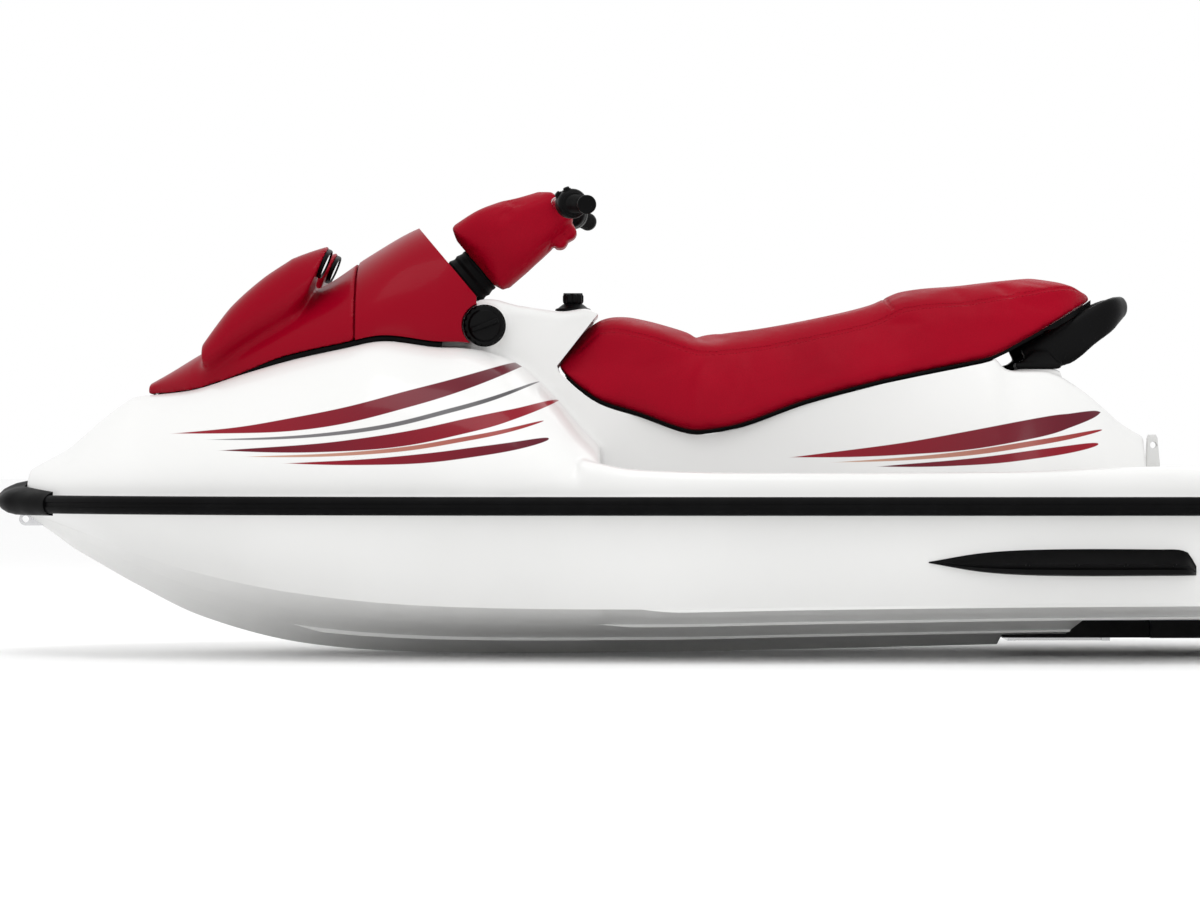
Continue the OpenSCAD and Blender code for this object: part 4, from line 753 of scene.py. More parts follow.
def bevel(obj, width, segments=3, angle=40):
    """Rounds the edges sharper than an angle in degrees."""
    mod = obj.modifiers.new("edge", "BEVEL")
    mod.width = width
    mod.segments = segments
    mod.limit_method = "ANGLE"
    mod.angle_limit = math.radians(angle)
    mod.harden_normals = False
    return bake(obj)


def set_piece(obj, finish, body, slot, *nodes):
    """Gives a finished piece its finish and its body, and hides the solids it stands for; the slot is not used.
    """
    obj.data.materials.clear()
    obj.data.materials.append(Finish.made[finish])
    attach(obj, body)
    if nodes:
        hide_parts(*nodes)
    return obj


class Finish:
    """Wires one procedural finish on Object coordinates."""

    made = {}

    def __init__(self, name):
        self.mat = bpy.data.materials.new(name)
        self.mat.use_nodes = True
        self.tree = self.mat.node_tree
        self.bsdf = next(n for n in self.tree.nodes if n.type == "BSDF_PRINCIPLED")
        self.coord = self.tree.nodes.new("ShaderNodeTexCoord").outputs["Object"]
        Finish.made[name] = self.mat

    def node(self, kind, links=None, values=None, **settings):
        """Adds a node with its settings, socket values and links."""
        n = self.tree.nodes.new(kind)
        for k, v in settings.items():
            setattr(n, k, v)
        for k, v in (values or {}).items():
            n.inputs[k].default_value = v
        for k, v in (links or {}).items():
            self.tree.links.new(v, n.inputs[k])
        return n

    def link(self, out, socket):
        """Feeds one of the surface's sockets."""
        self.tree.links.new(out, self.bsdf.inputs[socket])

    def set(self, **values):
        """Sets the surface's sockets; an underscore stands for a space."""
        for k, v in values.items():
            self.bsdf.inputs[k.replace("_", " ")].default_value = v

    def stretch(self, scale):
        """Coordinates scaled along each axis."""
        return self.node("ShaderNodeMapping", {"Vector": self.coord}, {"Scale": scale}).outputs["Vector"]

    def noise(self, scale, detail=4.0, rough=0.5, coord=None):
        """Cloudy values about one half."""
        return self.node("ShaderNodeTexNoise", {"Vector": coord or self.coord},
                         {"Scale": scale, "Detail": detail, "Roughness": rough}).outputs["Fac"]

    def cells(self, scale):
        """Distances to scattered cells' centres."""
        return self.node("ShaderNodeTexVoronoi", {"Vector": self.coord}, {"Scale": scale}).outputs["Distance"]

    def math(self, how, a, b=None):
        """One operation on values or sockets."""
        n = self.node("ShaderNodeMath", operation=how)
        for i, v in enumerate((a, b)):
            if v is None:
                continue
            if isinstance(v, (int, float)):
                n.inputs[i].default_value = v
            else:
                self.tree.links.new(v, n.inputs[i])
        return n.outputs[0]

    def band(self, value, lo, hi, to_lo=0.0, to_hi=1.0, smooth=False):
        """Carries one range of a value to another."""
        return self.node("ShaderNodeMapRange", {"Value": value},
                         {"From Min": lo, "From Max": hi, "To Min": to_lo, "To Max": to_hi},
                         interpolation_type="SMOOTHSTEP" if smooth else "LINEAR").outputs["Result"]

    def blend(self, fac, a, b):
        """Mixes two colours."""
        n = self.node("ShaderNodeMix", data_type="RGBA")
        for i, v in ((0, fac), (6, a), (7, b)):
            if isinstance(v, (int, float)):
                n.inputs[i].default_value = v
            elif isinstance(v, (tuple, list)):
                n.inputs[i].default_value = (*v[:3], 1.0)
            else:
                self.tree.links.new(v, n.inputs[i])
        return n.outputs[2]

    def bump(self, height, strength, distance, under=None):
        """Raised relief, over another relief if one is given."""
        links = {"Height": height}
        if under:
            links["Normal"] = under
        values = {"Strength": strength, "Distance": distance}
        return self.node("ShaderNodeBump", links, values).outputs["Normal"]

    def shape(self, value, points):
        """A value curve through points between 0 and 1."""
        n = self.node("ShaderNodeFloatCurve", {"Value": value})
        c = n.mapping.curves[0]
        while len(c.points) < len(points):
            c.points.new(0.5, 0.5)
        for p, (x, y) in zip(c.points, points):
            p.location = (x, y)
            p.handle_type = "AUTO"
        n.mapping.update()
        return n.outputs["Value"]


def dim(colour, k):
    """A colour made darker or lighter by a factor."""
    return tuple(c * k for c in colour[:3])


def gelcoat(name, colour, stripes=None, gloss=0.22, shine=0.14):
    """Glossy moulded gelcoat: faint clouding, soft orange peel and a thin clear coat."""
    f = Finish(name)
    tone = f.blend(f.band(f.noise(3.0, 1, 0.4), 0.3, 0.7, smooth=True), dim(colour, 0.965), dim(colour, 1.0))
    haze = f.band(f.noise(5.0, 1, 0.4), 0.35, 0.75, smooth=True)
    tone = f.blend(f.math("MULTIPLY", haze, 0.08), tone, dim(colour, 0.8))
    if stripes:
        tone = stripes(f, tone)
    f.link(tone, "Base Color")
    f.link(f.band(f.noise(9.0, 3), 0.3, 0.7, 0.29, 0.37), "Roughness")
    f.link(f.bump(f.noise(160.0, 2), 0.03, 0.0005), "Normal")
    f.set(Coat_Weight=gloss, Coat_Roughness=0.09, Specular_IOR_Level=shine)
    return f.mat


def stripe_set(colours, rows):
    """Plain tapered stripes: x range, centre line and width in metres, and the colour's index."""

    def paint(f, tone):
        xyz = f.node("ShaderNodeSeparateXYZ", {"Vector": f.coord}).outputs
        out = f.math("ABSOLUTE", xyz["Y"])
        for x0, x1, zlo, zhi, line, wide, widths, pick, ymin in rows:
            u = f.band(xyz["X"], x0, x1)
            centre = f.band(f.shape(u, line), 0, 1, zlo, zhi)
            width = f.math("MULTIPLY", f.shape(u, widths), wide)
            off = f.math("ABSOLUTE", f.math("SUBTRACT", xyz["Z"], centre))
            mask = f.band(f.math("SUBTRACT", width, off), 0.0, 0.0012)
            inside = f.math("MULTIPLY", f.math("GREATER_THAN", xyz["X"], min(x0, x1)),
                            f.math("LESS_THAN", xyz["X"], max(x0, x1)))
            mask = f.math("MULTIPLY", mask, f.math("MULTIPLY", inside, f.math("GREATER_THAN", out, ymin)))
            tone = f.blend(mask, tone, f.blend(u, *colours[pick]))
        return tone

    return paint


def vinyl(name, colour):
    """Marine vinyl: fine pebble grain, satin sheen and painted shade that darkens the grain's pits."""
    f = Finish(name)
    grain = f.cells(420.0)
    fine = f.noise(900.0, 3)
    tone = f.blend(f.band(f.noise(5.0, 5), 0.3, 0.7), dim(colour, 0.88), dim(colour, 1.06))
    # Painted shade: the cell centres, which the bump presses in as the grain's pits, are darkened.
    tone = f.blend(f.band(grain, 0.0, 0.6, 0.22, 0.0), tone, dim(colour, 0.55))
    f.link(tone, "Base Color")
    f.link(f.band(f.noise(22.0, 6), 0.3, 0.7, 0.40, 0.54), "Roughness")
    f.link(f.bump(grain, 0.22, 0.0006, f.bump(fine, 0.12, 0.0003)), "Normal")
    f.set(Sheen_Weight=0.005, Sheen_Roughness=0.4, Specular_IOR_Level=0.06)
    return f.mat


def rubber(name, colour):
    """Moulded black rubber: chalky bloom and a fine matte skin."""
    f = Finish(name)
    bloom = f.band(f.noise(11.0, 8, 0.65), 0.45, 0.75)
    f.link(f.blend(bloom, dim(colour, 0.85), dim(colour, 1.7)), "Base Color")
    f.link(f.band(f.noise(30.0, 6), 0.3, 0.7, 0.40, 0.55), "Roughness")
    f.link(f.bump(f.noise(650.0, 3), 0.2, 0.0004), "Normal")
    f.set(Specular_IOR_Level=0.06)
    return f.mat


def plastic(name, colour, grain=520.0):
    """Grained moulded plastic."""
    f = Finish(name)
    cell = f.cells(grain)
    f.link(f.blend(f.band(f.noise(8.0, 6), 0.3, 0.7), dim(colour, 0.85), dim(colour, 1.4)), "Base Color")
    f.link(f.band(f.noise(25.0, 5), 0.3, 0.7, 0.36, 0.5), "Roughness")
    f.link(f.bump(cell, 0.14, 0.0004), "Normal")
    f.set(Specular_IOR_Level=0.08)
    return f.mat


def steel(name, colour, brush=(4.0, 260.0, 260.0), rough=(0.15, 0.26)):
    """Drawn stainless steel with fine lines along its length."""
    f = Finish(name)
    lines = f.noise(6.0, 4, 0.6, f.stretch(brush))
    f.link(f.blend(f.band(lines, 0.3, 0.7), dim(colour, 0.82), dim(colour, 1.08)), "Base Color")
    f.link(f.band(lines, 0.3, 0.7, *rough), "Roughness")
    f.link(f.bump(lines, 0.05, 0.0002), "Normal")
    f.set(Metallic=1.0)
    return f.mat


def cast(name, colour):
    """Sand-cast alloy with a dull, pitted skin."""
    f = Finish(name)
    pits = f.noise(240.0, 6, 0.7)
    f.link(f.blend(f.band(f.noise(12.0, 6), 0.3, 0.7), dim(colour, 0.75), dim(colour, 1.1)), "Base Color")
    f.link(f.band(pits, 0.3, 0.7, 0.42, 0.62), "Roughness")
    f.link(f.bump(pits, 0.3, 0.0008), "Normal")
    f.set(Metallic=0.85)
    return f.mat


def mirror_finish(name, colour):
    """Silvered glass with a trace of haze."""
    f = Finish(name)
    haze = f.band(f.noise(18.0, 8, 0.7), 0.5, 0.8)
    f.link(f.blend(haze, colour, dim(colour, 0.86)), "Base Color")
    f.link(f.band(haze, 0, 1, 0.03, 0.10), "Roughness")
    f.set(Metallic=1.0)
    return f.mat


def ribbed_mat(name, colour):
    """Traction rubber: chevron ribs pressed into a dark mat, with painted shade that darkens the grooves
    against the rib tops.
    """
    f = Finish(name)
    xyz = f.node("ShaderNodeSeparateXYZ", {"Vector": f.coord}).outputs
    zig = f.math("PINGPONG", xyz["Y"], 0.035)
    run = f.math("ADD", xyz["X"], f.math("MULTIPLY", zig, 0.8))
    rib = f.math("PINGPONG", run, 0.007)
    rise = f.band(rib, 0.0016, 0.0034, smooth=True)
    speck = f.noise(420.0, 5, 0.6)
    # Painted shade: the colour follows the ribs' relief, darker in the pressed grooves than on the rib tops.
    tone = f.blend(rise, dim(colour, 0.55), dim(colour, 1.6))
    f.link(f.blend(f.band(speck, 0.4, 0.7, 0, 0.35), tone, dim(colour, 2.4)), "Base Color")
    f.link(f.band(speck, 0.3, 0.7, 0.55, 0.75), "Roughness")
    f.link(f.bump(rise, 0.5, 0.0022, f.bump(speck, 0.2, 0.0004)), "Normal")
    return f.mat


class CraftSizes(bpy.types.PropertyGroup):
    """Sizes of the craft's lines"""

    beam: FloatProperty(name="Beam", description="Width over the rub rails", default=1.19, unit="LENGTH")
    hull_depth: FloatProperty(name="Hull depth", description="Keel to bond flange",
                              default=0.302, unit="LENGTH")
    deck_height: FloatProperty(name="Deck height", description="Flange to deck ridge",
                               default=0.403, unit="LENGTH")
    rail_thickness: FloatProperty(name="Rail thickness", description="Reach of the rub rail", default=0.022,
                                  unit="LENGTH")
    rail_height: FloatProperty(name="Rail height", description="Height of the rub rail",
                               default=0.036, unit="LENGTH")
    flange: FloatProperty(name="Flange", description="Thickness of a bond flange",
                          default=0.012, unit="LENGTH")
    flange_width: FloatProperty(name="Flange width", description="Width of a bond flange", default=0.02,
                                unit="LENGTH")
    strake: FloatProperty(name="Strake", description="Width of a lifting strake",
                          default=0.026, unit="LENGTH")
    chine: FloatProperty(name="Chine", description="Width of the chine flat", default=0.03, unit="LENGTH")
    bulge: FloatProperty(name="Bulge", description="Outward bulge of the hull sides",
                         default=0.012, unit="LENGTH")
    gunwale: FloatProperty(name="Gunwale", description="Width of the gunwale", default=0.095, unit="LENGTH")
    floor: FloatProperty(name="Floor", description="Footwell floor above the keel",
                         default=0.262, unit="LENGTH")
    platform: FloatProperty(name="Platform", description="Stern platform above the keel", default=0.345,
                            unit="LENGTH")
    column_rake: FloatProperty(name="Column rake", description="Rake of the steering column above level",
                               default=math.radians(40), subtype="ANGLE")
    deck_grain: FloatProperty(name="Deck grain", description="Mesh size of the deck skin", default=0.008,
                              unit="LENGTH")
    cowl_grain: FloatProperty(name="Cowl grain", description="Mesh size of the hood and console skins",
                              default=0.0045, unit="LENGTH")
    pad_swell: FloatProperty(name="Pad swell", description="Most that a padded piece swells", default=0.009,
                             unit="LENGTH")


class CraftColours(bpy.types.PropertyGroup):
    """Colours of the craft's finishes"""

    white: FloatVectorProperty(name="White", description="White gelcoat", size=3, subtype="COLOR",
                               default=(0.81, 0.81, 0.80))
    red: FloatVectorProperty(name="Red", description="Red gelcoat", size=3, subtype="COLOR",
                             default=(0.265, 0.0004, 0.0105))
    vinyl: FloatVectorProperty(name="Vinyl", description="Red seat vinyl", size=3, subtype="COLOR",
                               default=(0.32, 0.0004, 0.0125))
    black: FloatVectorProperty(name="Black", description="Black rubber and plastic", size=3, subtype="COLOR",
                               default=(0.0022, 0.0022, 0.0024))
    maroon: FloatVectorProperty(name="Maroon", description="Dark end of the stripes", size=3, subtype="COLOR",
                                default=(0.09, 0.002, 0.012))
    tan: FloatVectorProperty(name="Tan", description="Pale end of the stripes", size=3, subtype="COLOR",
                             default=(0.55, 0.34, 0.24))
    grey: FloatVectorProperty(name="Grey", description="Grey of the thin stripes", size=3, subtype="COLOR",
                              default=(0.20, 0.19, 0.20))
    steel: FloatVectorProperty(name="Steel", description="Stainless steel", size=3, subtype="COLOR",
                               default=(0.62, 0.62, 0.63))
    alloy: FloatVectorProperty(name="Alloy", description="Cast alloy", size=3, subtype="COLOR",
                               default=(0.42, 0.42, 0.43))


def sizes():
    """The scene's sizes."""
    return bpy.context.scene.craft_sizes


def colours():
    """The scene's colours."""
    return bpy.context.scene.craft_colours


class STAGE_OT_craft(bpy.types.Operator):
    """Sets the pale floor, the soft lights and the side-on camera"""

    bl_idname = "craft.stage"
    bl_label = "Stage"

    def execute(self, context):
        scene = context.scene
        disc = [(FLOOR_RADIUS * math.cos(a), FLOOR_RADIUS * math.sin(a), KEEL - FLOOR_GAP) for a in circle(96)]
        floor = build("stage_floor", disc, [tuple(range(len(disc)))])
        pale = Finish("stage_paper")
        pale.link(pale.blend(pale.noise(1.5, 3), (0.955, 0.955, 0.955), (0.965, 0.965, 0.965)), "Base Color")
        pale.set(Roughness=0.9, Specular_IOR_Level=0.1)
        floor.data.materials.append(pale.mat)
        world = bpy.data.worlds.new("studio")
        scene.world = world
        world.use_nodes = True
        back = next(n for n in world.node_tree.nodes if n.type == "BACKGROUND")
        back.inputs["Color"].default_value = (1, 1, 1, 1)
        back.inputs["Strength"].default_value = 1.0
        for name, spot, aim, size, power in LAMPS:
            lamp = bpy.data.lights.new(name, "AREA")
            lamp.energy = power
            lamp.size = size
            obj = add_object(name, lamp)
            obj.location = spot
            obj.rotation_euler = (Vector(aim) - Vector(spot)).to_track_quat("-Z", "Y").to_euler()
        cam = bpy.data.cameras.new("side_camera")
        cam.sensor_width = SENSOR
        cam.lens = SENSOR * CAMERA_FAR / VIEW_WIDTH
        cam.clip_end = 100
        obj = add_object("side_camera", cam)
        obj.location = (VIEW_X, CAMERA_FAR, VIEW_Z + KEEL)
        obj.rotation_euler = (math.pi / 2, 0, math.pi)
        scene.camera = obj
        scene.view_settings.view_transform = "Standard"
        return {"FINISHED"}


class FINISH_OT_craft(bpy.types.Operator):
    """Makes the finishes and gives every solid that stays its own"""

    bl_idname = "craft.finishes"
    bl_label = "Finishes"

    def execute(self, context):
        c = colours()
        red, maroon, grey, tan = tuple(c.red), tuple(c.maroon), tuple(c.grey), tuple(c.tan)
        pairs = ((red, maroon), (grey, dim(grey, 0.4)), (maroon, red), (tan, red))
        gelcoat("white_gelcoat", c.white)
        gelcoat("striped_gelcoat", c.white, stripe_set(pairs, STRIPES))
        gelcoat("red_gelcoat", c.red, gloss=0.05, shine=0.05)
        vinyl("red_vinyl", c.vinyl)
        rubber("black_rubber", c.black)
        plastic("black_plastic", c.black)
        steel("stainless", c.steel)
        cast("cast_alloy", c.alloy)
        mirror_finish("mirror_silver", (0.86, 0.87, 0.88))
        ribbed_mat("traction_mat", (0.03, 0.03, 0.031))
        plastic("dial_black", (0.008, 0.008, 0.009), 900.0)
        plastic("dial_white", (0.7, 0.7, 0.68), 900.0)
        vinyl("red_thread", dim(c.vinyl, 0.55))
        stays = {"stainless": ("bow_eye", "stern_eyes", "hood_pin", "steering_stem", "handlebar", "impeller",
                               "intake_grate"),
                 "cast_alloy": ("pump_housing", "engine"),
                 "black_plastic": ("column_bearing", "storage_bin", "drain_plugs", "intake_shoe", "ride_plate",
                                   "nozzle", "hood_knuckle", "seat_base")}
        for finish, nodes in stays.items():
            for n in nodes:
                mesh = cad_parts[n].data
                mesh.materials.clear()
                mesh.materials.append(Finish.made[finish])
        return {"FINISHED"}


class HULL_OT_craft(bpy.types.Operator):
    """Hull moulding with strakes, pump tunnel and engine bay"""

    bl_idname = "craft.hull"
    bl_label = "Hull"

    def execute(self, context):
        k = Lines(sizes())
        steps = even(STERN, 0.03, 8)[:-1] + even(0.03, 0.5, 40)[:-1] + even(0.5, BOW, 90)
        hull = skin("hull", k.hull_half, steps)
        carve(hull, skin("bay", k.bay_half, even(0.262, 0.915, 30)))
        low, top = k.z.floor - k.z.flange - 0.001, k.z.hull_depth + OVER
        carve(hull, loft("tray", [oblong(s, k.flange_y(s) - k.z.flange_width - 0.023, low, top)
                                  for s in even(0.02, 0.30, 12)]))
        carve(hull, slab("tunnel", (at(ASTERN), -TUNNEL_HALF, KEEL - OVER),
                         (at(TUNNEL_FORE), TUNNEL_HALF, KEEL + TUNNEL_TOP)))
        x = at(NOTCH_FORE)
        carve(hull, prism("notch", [(at(ASTERN), -OVER), (x + OVER, -OVER), (x - 0.0375, NOTCH_TOP),
                                    (at(ASTERN), NOTCH_TOP)], ACROSS))
        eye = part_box("bow_eye")
        gap = Vector((0.0005, 0.0005, 0.0005))
        carve(hull, slab("eye_slot", eye[0] - gap, eye[1] + gap))
        shade(hull, 12)
        set_piece(hull, "white_gelcoat", "craft", "white_gelcoat", "hull_moulding")
        return {"FINISHED"}


class DECK_OT_craft(bpy.types.Operator):
    """Deck moulding: flanks, gunwales, footwells, stern platform and pedestal in one fair skin"""

    bl_idname = "craft.deck"
    bl_label = "Deck"

    def forms(self, k):
        """The solid forms that the deck's skin is faired over."""
        z = k.z
        parts = [skin("front", k.front_half, even(LIP, BOW, 110)),
                 skin("pedestal", k.ped_half, even(0.143, 0.6668, 130))]
        rim = even(STERN, 0.02, 6)[:-1] + [0.02, 0.021] + even(0.03, GUNWALE_FORE, 80)
        for side in (1, -1):
            parts.append(loft("gunwale", [ring(s, flip(side, k.gunwale_ring(s))) for s in rim]))
        under = z.floor - z.flange
        parts.append(loft("floor", [oblong(s, k.gunwale_in(s) + 0.007, under, z.floor)
                                    for s in even(0.0215, 0.57, 30)]))
        stern = [(s, z.platform) for s in (STERN, 0.0225, 0.05, 0.09, 0.135)] + [(0.17, z.floor - 0.0003)]
        parts.append(loft("stern", [oblong(s, k.gunwale_in(s) + 0.028, z.hull_depth if s < 0.03 else under, top)
                                    for s, top in stern]))
        toe = k.gunwale_in(0.5475)
        parts.append(slab("toe", (at(0.5475), -toe, under + KEEL),
                          (at(0.5605), toe, z.hull_depth + z.flange + KEEL)))
        pad_z = k.deck_z(HANDLE_LEVEL) + 0.003 + KEEL
        for side in (1, -1):
            ys = sorted((side * 0.105, side * 0.18))
            parts.append(slab("handle_pad", (at(HANDLE_AFT), ys[0], pad_z - 0.032),
                              (at(HANDLE_FORE), ys[1], pad_z)))
        parts.append(rod("knob_pad", 0.036, -0.016, 0, k.knob_frame(0.003), 48))
        parts.append(turned("neck", [(0, 0), (0.045, 0), (0.045, 0.200), (0.041, NECK_LONG), (0, NECK_LONG)],
                            k.cap_frame(), 64))
        return parts

    def cuts(self, k):
        """Tools for the bay, the seat's rebate, the bin, the hood's hinge and the tie-down slots."""
        tools = [skin("bay", k.ped_bay_half, even(0.2753, 0.6, 30))]
        cut = [(at(BASE_TAIL), k.deck_z(2))]
        cut += [(at(s), k.seat_bottom(s) - 0.0005) for s in even(BASE_TAIL, SEAT_NOSE, 60)]
        a = (at(SEAT_NOSE), k.seat_bottom(SEAT_NOSE) + 0.008)
        b = (at(LIP), k.seat_top(LIP))
        cut += [(a[0] + 0.004, a[1] + 0.004), (b[0] + 0.004, b[1] + 0.004), (at(LIP) + 0.004, k.deck_z(2))]
        tools.append(prism("seat_cut", cut, ACROSS))
        x0, x1, r, y = at(0.742) + 0.03, at(0.832) - 0.03, 0.031, 0.1
        well = [p for x, w, a in ((x1, y, 0), (x0, y, 90), (x0, -y, 180), (x1, -y, 270))
                for p in arc(x, w, r, a, 90, 8)]
        tools.append(loft("bin_cut", [[(px, py, k.deck_z(h) + KEEL) for px, py in well] for h in (0.4, 1.2)]))
        pin = Matrix.Translation((at(HOOD_TIP) - 0.016, 0, k.front_z(HOOD_TIP) + 0.006 + KEEL))
        pocket = arc(0, 0, 0.022, 180, 180, 15) + [(0.022, 0.05), (-0.022, 0.05)]
        tools.append(loft("pocket", [[pin @ Vector((px, w, pz)) for px, pz in pocket] for w in (-0.05, 0.05)]))
        for side in (1, -1):
            slot = [p for x, a in ((0.03, -90), (-0.03, 90))
                    for p in arc(at(0.075) + x, side * 0.4, 0.012, a, 180, 12)]
            tools.append(loft("tie_slot", [[(px, py, k.z.platform + h + KEEL) for px, py in slot]
                                           for h in (-0.012, 0.03)]))
        return tools

    def execute(self, context):
        k = Lines(sizes())
        deck = join("deck", self.forms(k))
        fair(deck, k.z.deck_grain, 5)
        for tool in self.cuts(k):
            carve(deck, tool)
        merge_underside(deck)
        shade(deck, 40)
        set_piece(deck, "striped_gelcoat", "craft", "white_gelcoat", "deck_moulding", "front_deck")
        return {"FINISHED"}


class RAIL_OT_craft(bpy.types.Operator):
    """Rub rail and bow bumper in black rubber"""

    bl_idname = "craft.rail"
    bl_label = "Rub rail and bumper"

    def execute(self, context):
        k = Lines(sizes())
        z, t, h = k.z.hull_depth, k.z.rail_thickness, k.z.rail_height
        steps = even(STERN, 0.03, 10)[:-1] + even(0.03, 0.5, 30)[:-1] + even(0.5, 0.9565, 70)
        path = [(at(s), -k.flange_y(s)) for s in reversed(steps)] + [(at(s), k.flange_y(s)) for s in steps]
        rings = []
        for i, (x, y) in enumerate(path):
            d = tangent(path, i)
            rings.append([(x - d.y * q * t, y + d.x * q * t, z + w * h + KEEL) for q, w in RAIL_SECTION])
        rail = loft("rub_rail_skin", rings)
        shade(rail, 32)
        set_piece(rail, "black_rubber", "craft", "black_rubber", "rub_rail")
        reach = CRAFT_LENGTH / 2 - at(BOW)
        side = [(s, *(curve(BUMPER, c, s) for c in (1, 2, 3))) for s in even(BUMPER[0][0], BOW, 12)]
        path = [(at(s), -k.flange_y(s), *row) for s, *row in side]
        for u in even(-0.86, 0.86, 20):
            e = clamp((abs(u) - 0.45) / 0.41)
            e = e * e * (3 - 2 * e)
            path.append((at(BOW), u * k.flange_y(BOW), reach * (1 - 0.12 * abs(u)), mix(0.0465, 0.037, e),
                         mix(-0.0215, -0.0225, e)))
        path += [(at(s), k.flange_y(s), *row) for s, *row in reversed(side)]
        rings = []
        for i, (x, y, w, top, low) in enumerate(path):
            d = tangent(path, i)
            pts = [(0.0008 + q * (w - 0.0008), mix(low, top, v)) for q, v in BUMPER_SECTION]
            rings.append([(x + d.y * q, y - d.x * q, z + v + KEEL) for q, v in pts])
        bumper = loft("bow_bumper_skin", rings)
        shade(bumper, 50)
        set_piece(bumper, "black_rubber", "craft", "black_rubber", "bow_bumper")
        return {"FINISHED"}


class COWL_OT_craft(bpy.types.Operator):
    """Hood with its mirror pods, the console behind it and the gasket under both"""

    bl_idname = "craft.cowl"
    bl_label = "Hood and console"

    def skirt(self, s):
        """How far the hood's edge hangs below the gap over the deck."""
        u = clamp((s - 0.775) / 0.05)
        return 0.0105 * u * u * (3 - 2 * u)

    def hood(self, k):
        """Hood with its two pods, hollow below."""
        seam = HOOD_AFT - 0.0035 / CRAFT_LENGTH
        shell = skin("shell", lambda s: k.cowl_half(s, 0, self.skirt(s)), even(seam, HOOD_TIP, 80))
        pods = []
        table = tuple(sorted(POD))
        for side in (1, -1):
            rings = []
            for i, grow in POD_RIM + tuple((i, 1.0) for i in range(1, 25)):
                s = mix(POD[-1][0], POD[0][0], i / 24)
                tilt = -POD_TILT * max(0.0, 1 - i / 5)
                h, w, d = (curve(table, c, s) for c in (1, 2, 3))
                mid = Vector((at(s), side * POD_OUT, k.deck_z(h - d / 2) + KEEL))
                up = Vector((-math.cos(math.pi / 2 + tilt), 0, math.sin(math.pi / 2 + tilt)))
                tall, wide = k.z.deck_height * d * POD_TALL * grow, k.half * w * grow
                rings.append([mid + up * tall * math.cos(a) + Vector((0, wide * math.sin(a), 0))
                              for a in circle(48)])
            pods.append(loft("pod", rings))
        pods = join("pods", pods)
        trees = (skin_tree(shell), skin_tree(pods))
        hood = join("hood_skin", [shell, pods])
        fair(hood, k.z.cowl_grain, 4)
        soften(hood, trees, 0.034, 70)
        carve(hood, skin("hollow", lambda s: k.cowl_half(s, COWL_WALL, self.skirt(s) + OVER),
                         even(HOOD_AFT - 0.01, HOOD_TIP - 0.004, 40)))
        shade(hood, 40)
        set_piece(hood, "red_gelcoat", "hood", "red_gelcoat", "hood")

    def console(self, k):
        """Console shell with the column's face, the lip under the hood's edge and the cap's sleeve."""
        fore = HOOD_AFT - 0.006 / CRAFT_LENGTH
        body = skin("console_body", k.cowl_half, even(CONSOLE_AFT, fore, 60))
        carve(body, skin("hollow", lambda s: k.cowl_half(s, COWL_WALL, OVER),
                         even(CONSOLE_AFT - 0.01, fore - COWL_WALL / CRAFT_LENGTH, 40)))
        col = k.column()
        carve(body, slab("face_cut", (-0.3, -0.4, 0), (0.3, 0.4, 0.4), col))
        wall = skin("face", lambda s: k.cowl_half(s, 0.003), even(CONSOLE_AFT, fore, 30))
        carve(wall, slab("face_slab", (-0.3, -0.4, -0.022), (0.3, 0.4, -0.016), col), "INTERSECT")
        carve(wall, rod("face_hole", 0.0263, -0.1, 0.1, col, 48))
        carve(wall, skin("ridge", lambda s: k.ped_half(s, grow=0.001), even(0.6, 0.68, 12)))
        lip = skin("lip", lambda s: k.cowl_half(s, 0.0105, -0.004), even(fore - 0.002, HOOD_AFT + 0.006, 6))
        carve(lip, skin("lip_in", lambda s: k.cowl_half(s, 0.0135, OVER),
                        even(fore - 0.004, HOOD_AFT + 0.008, 6)))
        cap = k.cap_frame()
        for piece in (body, wall):
            carve(piece, rod("cap_cut", CAP_HOLE, 0, ACROSS, cap, 72))
            bevel(piece, 0.0022, 3, 50)
        liner = skin("liner", k.cowl_half, even(CONSOLE_AFT, 0.66, 30))
        sleeve = [(CAP_HOLE, 0), (0.0475, 0), (0.0475, ACROSS), (CAP_HOLE, ACROSS)]
        carve(liner, turned("sleeve", sleeve, cap, 72), "INTERSECT")
        console = join("console_skin", [body, wall, lip, liner])
        shade(console, 40)
        set_piece(console, "red_gelcoat", "craft", "red_gelcoat", "console")

    def gasket(self, k):
        """Rubber strip under the edges of hood and console."""
        strips = []
        for side in (1, -1):
            rings = []
            for s in even(0.662, 0.872, 60):
                y = k.front_y(s) - 0.0035 - 0.5 * self.skirt(s)
                low, top = k.front_z(s) + 0.0003, k.front_z(s) + 0.0112
                pts = [(y - 0.015, low), (y - 0.001, low), (y, low + 0.002), (y + 0.0006, (low + top) / 2),
                       (y, top - 0.002), (y - 0.002, top), (y - 0.015, top)]
                rings.append(ring(s, flip(side, pts)))
            strips.append(loft("strip", rings))
        gasket = join("hood_gasket", strips)
        shade(gasket, 50)
        set_piece(gasket, "black_rubber", "craft", "black_rubber", "hood_seal")

    def mirrors(self, k):
        """Bezels and panes in the pods' ends."""
        frames, glass = [], []
        h, _, d = POD[-1][1:]

        def oval(spot, grow, z):
            return [spot @ Vector(((MIRROR[0] * grow) * math.cos(a), (MIRROR[1] * grow) * math.sin(a), z))
                    for a in circle(64)]

